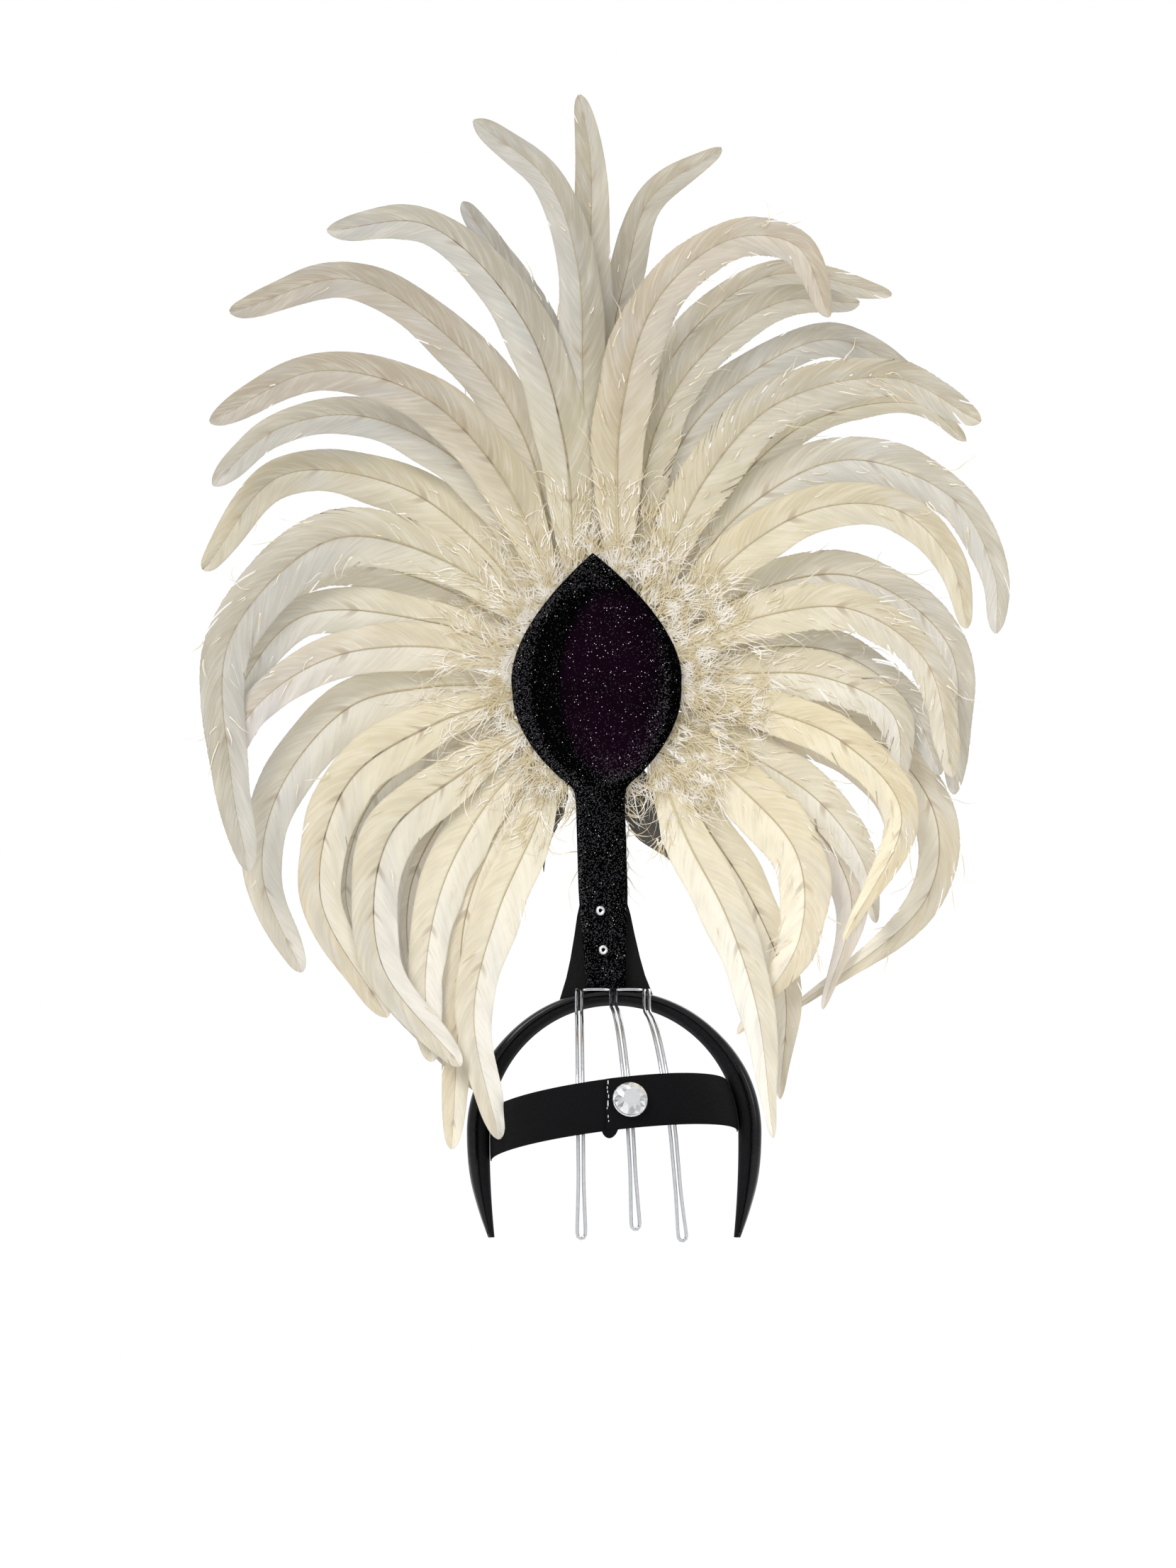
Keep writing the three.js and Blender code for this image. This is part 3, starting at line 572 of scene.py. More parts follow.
glitter = Look("glitter_cloth", Roughness=0.7, Specular_IOR_Level=0.012)
gx, gy, gz = glitter.parts(glitter.place())
flat_place = glitter.vector(gx, gz, 0.0)


def cells(scale, output):
    """Random cells in the plane of the panel."""
    grain = {"Vector": flat_place, "Scale": scale}
    return glitter.node("TexVoronoi", grain, output=output, voronoi_dimensions="2D")


side = (gx + 0.0105) / 0.0525
rise = (gz - 0.197) / 0.078
ring = (side * side + rise * rise) ** 0.5
inner = (((side - 0.2) / 0.66) ** 2 + (rise / 0.80) ** 2) ** 0.5
# Painted light: the haze crowds on the left rim, the dish's lower right slope and the stem's edges.
lit_rim_part = ring.step(0.75, 0.80) * (0.35 - side).step(0.0, 0.6)
lit_slope_part = inner.step(0.62, 0.95) * (1 - inner.step(0.97, 1.04)) * (side - rise).step(0.1, 0.9)
lit_stem_edges = (0.124 - gz).step(0.0, 0.01) * (side.step(-0.16, -0.24) + side.step(0.05, 0.15) * 0.6) * 0.6
painted_light_crowd = (lit_rim_part + lit_slope_part * 0.8 + lit_stem_edges).held()
cell = glitter.parts(cells(2600.0, "Color"))[0]
haze = (cell - 0.965 + painted_light_crowd * 0.17).step(0.0, 0.03)
# Painted glints: a few cells, more in the middle, are painted near white where flakes sparkle.
spot_cell = glitter.parts(cells(1300.0, "Color"))[1]
middle_part = 1 - inner.step(0.85, 1.0)
painted_sparkle = spot_cell - 0.004 + middle_part * 0.008 > 0.988
painted_sparkle = painted_sparkle * (1 - cells(1300.0, "Distance").step(0.18, 0.32))
# Plum dye kept to a middle shifted right; the dish's left side stays black as painted shade.
plum_dye_and_painted_shade = glitter.noise(glitter.place(), 22.0, 2.0).step(0.25, 0.55) * middle_part
cloth_tone = glitter.blend(plum_dye_and_painted_shade, (0.0005, 0.0005, 0.0006), (0.0050, 0.0010, 0.0044))
cloth_tone = glitter.blend(haze, cloth_tone, (0.075, 0.070, 0.078))
glitter.set("Base Color", glitter.blend(painted_sparkle, cloth_tone, (0.95, 0.94, 0.98)))
glitter.set("Roughness", 0.85 - haze * 0.3)
glitter.bump(haze, 0.0003, 0.6)

panel = put_closed("glitter_panel", leaned(panel_points()), glitter)
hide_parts("back_panel")
print("panel:", len(panel.data.polygons), "faces")

# %% [markdown]
# ## Hard parts that stay
# The stem's foot, the core board, the plain front plate, the eyelets and the button's setting already
# have their shapes in CAD. They only need finishes, which go into their material slots.

# %% Finishes of the hard parts
matt = mottled(
    "matte_cover", 500.0, 4.0, (0.003, 0.003, 0.0035), (0.011, 0.011, 0.012), dent=(0.0003, 0.4),
    Roughness=0.75, Specular_IOR_Level=0.08
)
nickel = mottled(
    "nickel", 800.0, 3.0, (0.62, 0.62, 0.64), (0.85, 0.85, 0.86), rough=(0.25, 0.15), Metallic=1.0
)


def finish_node(name, look):
    """Gives a CAD node one look all over."""
    mesh = nodes[name].data
    mesh.materials.clear()
    mesh.materials.append(look.material)


for name in ("stem_base", "panel_core", "front_plate"):
    finish_node(name, matt)
for name in ("rivet_upper", "rivet_lower", "stone_setting"):
    finish_node(name, nickel)
print("finishes on 6 CAD nodes")

# %% [markdown]
# ## The bent wire
# One bright wire is bent into three long doubled prongs, each with an eye at its end, that grip the back
# of the head. A curve object with a round bevel would do; here the tube is worked out from the route,
# because the route is a formula: down over the head, half a turn at the eye, and back up beside itself.
# head_half, head_deep and nape_high are half the head's width, its depth and its height below the arch's
# centre.

# %% Wire route
prongs = [(-21, -19.5, -140), (-0.5, 11.4, -135), (19.5, 38.7, -141)]
head_half, head_deep, nape_high = 68.8, 95.0, 130.0
clear = 1.5
first_turn = math.radians(22)


def over_head(x, turn):
    """A point just clear of the back of the head, at a turn down from its top."""
    narrow = np.sqrt(1 - (x / head_half) ** 2)
    high = np.where(np.cos(turn) >= 0, inner_high, nape_high)
    y = -(head_deep * narrow + clear) * np.sin(turn)
    return np.stack([x, y, -inner_high + (high * narrow + clear) * np.cos(turn)], -1)


def prong_route(top, end, level):
    """One prong: two strands 3 mm apart that widen to 4.6 mm, joined by half a circle."""
    share = np.linspace(0, 1, 14)
    last = math.acos((level + inner_high) / (nape_high * math.sqrt(1 - (end / head_half) ** 2) + clear))
    line = over_head(top + (end - top) * share**0.9, first_turn + (last - first_turn) * share)
    line = np.vstack([[top, -15.5, 7.06], [top, -20.5, 5.06], line])
    apart = np.r_[0, 0, smoothed((share - 0.86) / 0.12)] * 0.8 + 1.5
    down = np.array([0, 0.25, -1]) / math.hypot(0.25, 1)
    angle = np.radians([30, 60, 90, 120, 150])[:, None]
    eye = line[-1] + apart[-1] * (np.sin(angle) * down - np.cos(angle) * np.array([1, 0, 0]))
    beside = apart[:, None] * np.array([1, 0, 0])
    return np.vstack([line - beside, eye, (line + beside)[::-1]])


def tube(route, radius, sides):
    """A round tube: at each place a circle across the direction of travel."""
    way = unit(np.gradient(route, axis=0))
    first = unit(np.cross(way, [0.577, -0.577, 0.577]))
    second = np.cross(way, first)
    angle = turns(sides)[..., None]
    circle = np.cos(angle) * first[:, None, :] + np.sin(angle) * second[:, None, :]
    return route[:, None, :] + radius * circle


drawn = mottled(
    "drawn_wire", 400.0, 3.0, (0.42, 0.43, 0.45), (0.62, 0.62, 0.64), rough=(0.15, 0.1), Metallic=1.0
)
wire_route, wire_length = smooth_route(np.vstack([prong_route(*prong) for prong in prongs]), 620)
wire = put_closed("bent_wire", tube(wire_route, 1.0, 12), drawn)
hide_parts("wire_prongs")
print("wire:", round(wire_length), "mm long")

# %% [markdown]
# ## The elastic strap
# Two lengths of wide woven elastic overlap at the back. Elastic under tension has no folds: it is a band
# that follows the head, so each length is a strip swept round it, with ribs along it from the weave.

# %% Strap surface


def oval(z, half, below, out=0.0):
    """Half the width at a level of an oval that is inner_high tall above the arch's centre and below tall
    under it, made larger all round by out."""
    high = np.where(z >= -inner_high, inner_high, below) + out
    return (half + out) * np.sqrt(np.maximum(1 - ((z + inner_high) / high) ** 2, 0))


def strap_place(turn, across, out):
    """A point at a turn round the head from the back: half the band's inner width times its sine, the
    head's depth times its cosine, at a level that tilts from end to end and sags towards both."""
    z = -66.5 + 8.75 * np.sin(turn) - 4.25 * (1 - np.cos(turn)) + across
    beside = oval(z, inner_half, leg_high) - 0.9 + out
    behind = oval(z, head_deep, nape_high, 3.55) + out
    return np.stack([beside * np.sin(turn), -behind * np.cos(turn), z], -1)


def strap_piece(name, node, start, end, lift, look):
    """A closed strip: its section is a flat oval 30 mm by 1.2 mm, carried round the head."""
    turn = np.radians(np.linspace(start, end, 150))[:, None]
    across = 15 * rounded(np.cos(turns(64)), 0.7)
    face = rounded(np.sin(turns(64)), 0.35)
    middle = strap_place(turn, 0.0, lift(turn))[:, 0]
    reach = np.r_[0, np.cumsum(np.linalg.norm(np.diff(middle, axis=0), axis=1))]
    uv = np.stack(np.broadcast_arrays(reach[:, None] / 200, across / 200 + 0.5), -1)
    piece = put_closed(name, strap_place(turn, across, 0.6 * face + lift(turn)), look, uv)
    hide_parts(node)
    print(name, "is", round(reach[-1]), "mm long")


def over_lap(turn):
    """The right length is lifted by 1.5 mm where it lies on the left one."""
    return 1.5 * (1 - smoothed((np.degrees(turn) - 26) / 20))


elastic = Look("elastic_weave", Roughness=0.85, Specular_IOR_Level=0.06)
along, across = elastic.parts(elastic.uv())[:2]
ribs = elastic.node("Math", {0: across * 1100.0}, operation="SINE")
elastic_tone = elastic.noise(elastic.vector(along * 900.0, across * 60.0, 0.0), 1.0, 3.0)
elastic.set("Base Color", elastic.blend(elastic_tone, (0.002, 0.002, 0.0025), (0.007, 0.007, 0.008)))
elastic.bump(ribs * 0.5 + elastic_tone, 0.0003, 0.5)

strap_piece("elastic_left", "strap_left", -89, 24, np.zeros_like, elastic)
strap_piece("elastic_right", "strap_right", -4.2, 89, over_lap, elastic)

# %% [markdown]
# ## Strap end and button
# The overlap is sewn with pale thread, and a corner of the lower length curls out under it. A round cut
# stone in a silver setting sits on it. A polished cylinder would look like a pill, so the stone is a
# brilliant cut: a table, three rows of crown facets and a girdle. Every facet has its own tone, as the
# light inside a foiled stone comes back bright from some and dark from others.

# %% Stitches and curled corner
thread = mottled("pale_thread", 900.0, 2.0, (0.55, 0.54, 0.52), (0.80, 0.79, 0.77), Roughness=0.6)


def beads(centres, halves, rows=7, columns=8):
    """Small ellipsoids with given centres and half sizes, as one set of points and faces."""
    around = turns(columns)
    up = np.linspace(-1, 1, rows)[:, None] * np.pi / 2 * 0.98
    level = np.cos(up)
    ball = np.stack(np.broadcast_arrays(level * np.cos(around), level * np.sin(around), np.sin(up)), -1)
    points = centres[:, None, :] + halves[:, None, :] * ball.reshape(-1, 3)[None, :, :]
    one = capped(rows, columns)
    faces = [[c + k * rows * columns for c in face] for k in range(len(centres)) for face in one]
    return points.reshape(-1, 3), faces


stitch_rise = np.array([12.4, 9.6, 7.2, 4.4, 0.2, -2.2, -7.0, -9.6])
stitch_long = np.array([1.7, 0.9, 0.9, 1.3, 2.2, 0.7, 0.9, 0.6])
stitch_turn = np.radians(-3.3 + 0.35 * np.sin(stitch_rise * 0.5))
stitch_half = np.stack([0.2 + 0.08 * stitch_long, np.full_like(stitch_long, 0.2), stitch_long], -1)
points, faces = beads(strap_place(stitch_turn, stitch_rise, 2.2), stitch_half)
stitches = put("strap_stitches", points, faces, [thread.material])
turn_outwards(stitches)

share = np.linspace(0.02, 0.98, 24)[:, None]
down = 0.5 - 0.5 * np.cos(turns(20))
across = -13.5 - 6.0 * np.sin(np.pi * share) ** 0.5 * down
curl = 1.2 + 1.6 * down**2 + 0.55 * np.sin(turns(20))
points = strap_place(np.radians(-6.0 + 7.2 * share), across, curl)
corner_uv = np.stack(np.broadcast_arrays(share * 0.06, across / 200 + 0.5), -1)
corner = put_closed("elastic_corner", points, elastic, corner_uv)
print("stitches:", len(stitch_rise))

# %% Cut stone


def stone_points():
    """Rings of a brilliant cut, as (radius, height, angle) in millimetres, and its facets."""
    half = np.pi / 12
    table = [(5.0, 6.2, 2 * k * half) for k in range(12)]
    middle = [(7.7, 4.75, (2 * k + 1) * half) for k in range(12)]
    girdle = [(9.6, 2.8, k * half) for k in range(24)]
    foot = [(9.4, 1.8, k * half) for k in range(24)]
    radius, height, angle = np.array(table + middle + girdle + foot).T
    points = np.stack([radius * np.cos(angle), height, radius * np.sin(angle)], -1)
    k = np.arange(12)
    after, rim = (k + 1) % 12, 24 + 2 * k
    facets = [list(range(12)), list(range(48, 72))]
    facets += np.stack([k, after, 12 + k], -1).tolist()
    facets += np.stack([k, 12 + k, rim, 12 + (k - 1) % 12], -1).tolist()
    facets += np.stack([12 + k, rim, rim + 1], -1).tolist()
    facets += np.stack([12 + k, rim + 1, 24 + (2 * k + 2) % 24], -1).tolist()
    j = np.arange(24)
    facets += np.stack([24 + j, 48 + j, 48 + (j + 1) % 24, 24 + (j + 1) % 24], -1).tolist()
    return points, facets


spot = math.radians(6.3)
rise = -64.5 - strap_place(spot, 0.0, 2.1)[2]
seat = strap_place(spot, rise, 2.1)
axis = np.cross(strap_place(spot + 0.02, rise, 2.1) - seat, strap_place(spot, rise + 1, 2.1) - seat)
axis = -np.sign(axis[1]) * unit(axis)
side = unit(np.cross([0, 0, 1], axis))
ring, facets = stone_points()
ring = seat + 0.3 * axis + ring @ np.array([side, axis, np.cross(axis, side)])
corners = np.concatenate(facets)
sizes = np.array([len(facet) for facet in facets])
ends = np.cumsum(sizes)
own = [list(range(end - size, end)) for size, end in zip(sizes, ends)]
cut_glass = Look("cut_glass", Metallic=0.75, Roughness=0.06, Coat_Weight=1.0)
facet_tone = cut_glass.tint("Color")
mist = cut_glass.noise(cut_glass.place(), 260.0, 2.0).step(0.3, 0.7)
cut_glass.set("Base Color", cut_glass.blend(mist * 0.35, facet_tone, (0.80, 0.82, 0.84)))
stone = put("cut_stone", ring[corners], own, [cut_glass.material], smooth=False)
turn_outwards(stone)
shade = 0.30 + 0.65 * np.random.default_rng(7).random(len(facets)) ** 0.8
shade[0] = 0.72
each = np.repeat(shade, sizes)
tint_points(stone, np.stack([each, each, each * 1.02, np.ones_like(each)], -1))
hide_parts("rhinestone")
print("stone facets:", len(facets))

# %% [markdown]
# ## The feathers
# Each is a long tail feather: a tapering shaft with a vane on each side, built of fine barbs that leave
# the shaft at a slant. A flat card with a picture of a feather would be quick, but it shows from the
# side. Here a vane is a surface of many lines of barbs side by side. Neighbours are joined to the edge,
# and where the feather is split they are joined only near the shaft, so the splits are real gaps.

# %% Feather routes
# Each row: layer (0 lies nearest the viewer), root direction, width, the shaft's places, tint, how dark
# the shaft is, and how torn the vane is. A place is a direction, in degrees round the panel's middle,
# and then a reach, in hundredths of the fan's full reach.
ivory, cream, straw = (0.52, 0.49, 0.42), (0.53, 0.475, 0.36), (0.58, 0.51, 0.35)
grey, blush, peach = (0.41, 0.39, 0.35), (0.51, 0.465, 0.42), (0.57, 0.485, 0.375)
tan = (0.50, 0.425, 0.325)
left_rows = [
    (4, 2, 1.00, (1, 60, 1, 90, 1, 108, 0, 119), cream, 0.3, 0),
    (6, 6, 0.85, (4, 53, 2, 76, -1, 101), straw, 0.6, 0),
    (2, -3, 0.95, (-1, 62, -1, 86, -4, 102, -11, 115), ivory, 0.2, 0),
    (5, -8, 0.90, (-4, 50, -7, 76, -14, 103), grey, 0.3, 1),
    (1, -13, 1.05, (-6, 50, -10, 76, -19, 98, -30, 105), ivory, 0.9, 0),
    (3, -18, 1.00, (-15, 55, -21, 76, -30, 96, -44, 105), tan, 0.4, 0),
    (7, -22, 0.85, (-22, 50, -25, 63, -28, 75), ivory, 0.3, 2),
    (0, -27, 1.00, (-23, 45, -30, 68, -41, 84, -56, 93), tan, 0.5, 0),
    (4, -34, 0.95, (-26, 41, -33, 61, -41, 75, -51, 84, -62, 88), ivory, 0.3, 0),
    (6, -42, 1.05, (-38, 37, -43, 58, -55, 78, -73, 84), straw, 0.3, 0),
    (2, -50, 1.10, (-49, 38, -60, 61, -83, 75, -105, 77, -119, 81), ivory, 0.4, 1),
    (8, -58, 0.95, (-56, 38, -64, 62, -80, 74, -98, 72), cream, 0.3, 1),
    (5, -68, 0.90, (-68, 36, -76, 62, -92, 74, -104, 79), ivory, 0.3, 0),
    (3, -77, 0.95, (-77, 36, -84, 55, -94, 70, -105, 80), blush, 0.3, 0),
    (7, -90, 1.05, (-90, 36, -94, 51, -107, 68, -119, 79, -134, 85), ivory, 0.3, 0),
    (1, -99, 1.00, (-104, 34, -112, 55, -128, 72, -148, 82), cream, 0.8, 0),
    (4, -108, 1.00, (-110, 32, -117, 52, -129, 67, -144, 79), ivory, 0.1, 0),
    (5, -117, 0.90, (-119, 33, -129, 56, -144, 74, -165, 89), grey, 0.3, 0),
    (0, -126, 1.00, (-124, 34, -127, 54, -142, 73, -160, 85), ivory, 0.8, 0),
    (8, -133, 0.90, (-128, 34, -136, 56, -147, 72, -157, 84), blush, 0.3, 0),
    (2, -140, 0.95, (-137, 32, -142, 52, -149, 70, -156, 86), ivory, 0.2, 0),
    (3, -147, 0.80, (-146, 38, -150, 56, -157, 76, -162, 101), cream, 0.3, 0),
    (1, -153, 0.90, (-156, 34, -156, 53, -159, 74, -167, 97), ivory, 0.2, 0),
]
right_rows = [
    (7, 11, 0.90, (4, 68, 6, 88, 8, 102, 15, 114), cream, 0.3, 0),
    (0, 16, 1.05, (7, 56, 11, 79, 19, 93, 27, 96, 35, 87), peach, 0.4, 1),
    (8, 21, 0.85, (12, 55, 16, 76, 25, 94, 39, 102), cream, 0.3, 1),
    (3, 26, 0.95, (15, 54, 20, 72, 28, 87, 37, 94), cream, 0.4, 1),
    (5, 31, 0.95, (21, 53, 27, 70, 36, 86, 50, 92), ivory, 0.3, 0),
    (1, 36, 1.05, (30, 48, 35, 68, 47, 86, 59, 93), cream, 0.4, 2),
    (6, 42, 0.65, (36, 48, 41, 71, 51, 88, 59, 91), straw, 0.5, 1),
    (4, 48, 1.00, (42, 47, 50, 69, 65, 82, 78, 84, 86, 82), ivory, 0.3, 1),
    (2, 55, 0.95, (50, 44, 55, 60, 63, 71, 74, 76, 85, 76), straw, 0.3, 0),
    (7, 63, 0.95, (61, 38, 69, 58, 86, 73, 110, 77), ivory, 0.3, 1),
    (0, 72, 0.90, (71, 37, 77, 54, 90, 67, 109, 75), cream, 0.3, 2),
    (5, 80, 0.90, (80, 34, 85, 50, 96, 64, 108, 73), grey, 0.3, 2),
    (3, 89, 1.00, (89, 32, 91, 46, 99, 61, 115, 67), ivory, 0.3, 2),
    (1, 98, 0.85, (102, 34, 107, 52, 117, 68, 140, 74), straw, 0.3, 1),
    (6, 104, 0.80, (106, 38, 109, 56, 118, 69, 137, 72), peach, 0.5, 0),
    (8, 110, 0.90, (102, 38, 104, 60, 114, 75, 126, 81, 153, 79), cream, 0.3, 1),
    (4, 117, 1.00, (118, 34, 121, 52, 127, 66, 134, 76), ivory, 0.3, 1),
    (2, 125, 1.10, (129, 36, 134, 55, 145, 68, 161, 79), cream, 0.2, 1),
    (7, 133, 0.90, (124, 36, 126, 54, 133, 69, 148, 82), blush, 0.3, 0),
    (0, 143, 0.90, (153, 38, 154, 56, 157, 76, 162, 101), ivory, 0.2, 0),
    (5, 138, 0.90, (145, 36, 147, 55, 151, 74, 159, 94), cream, 0.7, 0),
]
print("feathers:", len(left_rows) + len(right_rows))

# %% Feather curves
reach_full = 300.0
fan_start = panel_top - panel_waist + 2
vane_half = 11.5
uv_span = 400


def polar(direction, distance):
    """A place (x, z) in a direction round the panel's middle."""
    angle = np.radians(direction)
    return np.stack([distance * np.sin(angle), panel_waist + distance * np.cos(angle)], -1)


def core_edge(direction):
    """How far the core board reaches in a direction: the first of many steps that is outside it."""
    steps = np.arange(5, 120, 0.1)
    places = polar(direction, steps)
    outside = np.abs(places[:, 0]) >= core_width(places[:, 1])
    return steps[np.argmax(outside)]


def feather_route(row):
    """Even steps along the shaft of a row's feather, from the core board's edge to the tip, the direction
    at each, and the shaft's length."""
    root, through = row[1], row[3]
    places = [polar(root, core_edge(root) + 0.6)]
    places += [polar(way, share / 100 * reach_full) for way, share in zip(through[::2], through[1::2])]
    shaft, length = smooth_route(places, 160)
    return shaft, unit(np.gradient(shaft, axis=0)), length


def read_all(at, *lines):
    """Several lines of values, each read at shares of its length."""
    return [np.interp(at, np.linspace(0, 1, len(line)), line) for line in lines]


def fan_share(x, z):
    """0 behind the panel and 1 at the usual tip."""
    return np.maximum(np.hypot(x, z - panel_waist) - fan_start, 0) / (reach_full - fan_start)


def fan_depth(layer, x, z):
    """Depth of a layer: flat behind the panel, then fanned out from its neighbours and bowed back."""
    t = fan_share(x, z)
    return 1.05 + (layer - 4) * 1.5 * (1 + 3 * t) - 40 * t * t


vane_rows = [
    (0, 0), (0.05, 0.4), (0.14, 1), (0.28, 1.4), (0.44, 1.4), (0.6, 1.18), (0.75, 0.97), (0.87, 0.8),
    (0.94, 0.66), (0.975, 0.5), (0.991, 0.31), (1, 0.06),
]
print("core edge straight up:", round(float(core_edge(0)), 1), "mm from the middle")

# %% Feather surface


def waves(along, size, pace, rng):
    """A sum of four sine waves of random size, pace and start."""
    return sum(rng.uniform(*size) * np.sin(along * rng.uniform(*pace) + rng.uniform(0, 6)) for _ in range(4))


def vane_points(shaft, tangent, length, half, hand, torn, sharp, rng):
    """One vane as lines of barbs: a line starts on the shaft and slants forward as it goes out. The slant
    shortens towards the tip, so that the last lines run into it. At a split the lines on either side lean
    apart and are joined only near the shaft. sharp from 0 to 1 narrows the tip."""
    lines = int(length / 1.25)
    out = np.array([0, 0.06, 0.16, 0.3, 0.46, 0.62, 0.77, 0.9, 1.0])
    start = np.linspace(0, 0.9985, lines)
    slant = 0.09
    ahead = slant * (1 - np.exp(-(1 - start) / slant))
    lean_by = np.zeros(lines)
    free = np.full(lines - 1, len(out))
    splits = rng.choice(np.arange(lines // 4, lines - 14), size=3 * torn + rng.integers(0, 2), replace=False)
    for k in splits:
        near = start - start[k] - 1e-9
        open_by = rng.uniform(0.0004, 0.0016) * (1 + 0.4 * torn)
        lean_by += open_by * np.sign(near) * np.exp(-np.abs(near) / rng.uniform(0.02, 0.06))
        free[k] = rng.integers(6 - torn, 8)
    end = np.clip(start + ahead + lean_by, 0, 1)
    swell = waves(start, (0.01, 0.03), (5, 40), rng)
    frayed = rng.normal(0, 0.004 + 0.006 * torn, lines)
    narrowed = 1 - sharp * smoothed((end - 0.95 + 0.5 * sharp) / (0.05 + 0.5 * sharp))
    width = half * read(vane_rows, end) * (1 + frayed + swell) * narrowed
    along = start[:, None] + (end - start)[:, None] * out[None, :] ** 1.15
    across = width[:, None] * (1.3 * out - 0.3 * out**2)[None, :]
    x, z, tx, tz = read_all(along, *shaft.T, *tangent.T)
    uv = np.stack(np.broadcast_arrays(start[:, None] * length / uv_span, 0.5 + 0.5 * hand * out[None, :]), -1)
    wave = waves(start, (0.15, 0.6), (8, 60), rng)[:, None] * out[None, :] ** 1.5
    return x + hand * across * tz, z - hand * across * tx, across, wave, uv, free


def vane_faces(lines, stations, free, hand):
    """Faces between neighbouring lines, as far out as they are joined."""
    k, j = np.meshgrid(np.arange(lines - 1), np.arange(stations - 1), indexing="ij")
    a = k * stations + j
    faces = np.stack([a, a + stations, a + stations + 1, a + 1], -1)[j < free[:, None]]
    return faces if hand > 0 else faces[:, ::-1]


def shaft_points(shaft, layer, length, sides=7, rows=70):
    """A tapering tube on the viewer's face of the vanes: radius 0.8 mm at the root, falling to 0.08 mm
    just before the tip."""
    step = np.linspace(0, 0.97, rows)
    x, z = (line[:, None] for line in read_all(step, *shaft.T))
    tx, tz = np.gradient(x, axis=0), np.gradient(z, axis=0)
    size = np.hypot(tx, tz)
    radius = (0.08 + 0.72 * (1 - step) ** 1.3)[:, None]
    angle = turns(sides)
    depth = fan_depth(layer, x, z) - 0.35 * radius
    px = x + tz / size * radius * np.cos(angle)
    pz = z - tx / size * radius * np.cos(angle)
    points = np.stack([px, depth + radius * np.sin(angle) * 0.9, pz], -1)
    uv = np.stack(np.broadcast_arrays(step[:, None] * length / uv_span, angle / 7), -1)
    return points.reshape(-1, 3), uv.reshape(-1, 2)


def feather(name, node, row, seed, looks, slot):
    """A whole feather: two vanes that fall away from the shaft, more so towards the tip, and the shaft.
    The vane on the upper side is painted a little darker and warmer as painted shade, and the other one
    lighter as painted light. Feathers that point down are painted lighter and those that point up darker,
    also as painted light."""
    layer, root, wide, through, tint, dark, torn = row
    rng = np.random.default_rng(seed)
    shaft, tangent, length = feather_route(row)
    twist = rng.uniform(-0.12, 0.12)
    sharp = 0.9
    if slot == "feather":
        sharp = rng.uniform(0, 0.12) + 0.1 * (root > 7) + 0.4 * (root > 85)
    cup = rng.uniform(0.012, 0.022)
    parts, faces, uvs = [], [], []
    start = 0
    for hand in (-1, 1):
        half = vane_half * wide
        x, z, across, wave, uv, free = vane_points(shaft, tangent, length, half, hand, torn, sharp, rng)
        fall = (cup * across**2 + hand * twist * across + wave) * np.minimum(0.12 + fan_share(x, z), 1)
        parts.append(np.stack([x, fan_depth(layer, x, z) + fall, z], -1).reshape(-1, 3))
        faces.append(vane_faces(*x.shape, free, hand) + start)
        uvs.append(uv.reshape(-1, 2))
        start += x.size
    tube, tube_uv = shaft_points(shaft, layer, length)
    parts.append(tube)
    uvs.append(tube_uv)
    faces.append(ring_faces(len(tube) // 7, 7) + start)
    piece = put(
        name, leaned(np.concatenate(parts)), np.concatenate(faces), [look.material for look in looks],
        np.concatenate(uvs), np.repeat([0, 0, 1], [len(part) for part in faces])
    )
    # Painted light: down-pointing feathers lighter, up-pointing darker; upper vane painted shade, lower lit.
    shade = np.array(tint) * (1.06 - 0.29 * math.cos(math.radians(root))) * rng.uniform(0.94, 1.06)
    upper = [*shade * np.array([0.94, 0.90, 0.81]), dark]
    lower = [*shade * np.array([1.22, 1.24, 1.29]), dark]
    pair = [upper, lower] if root > 0 else [lower, upper]
    tint_points(piece, np.repeat([*pair, [*shade, dark]], [len(part) for part in parts], axis=0))
    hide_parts(node)
    return piece
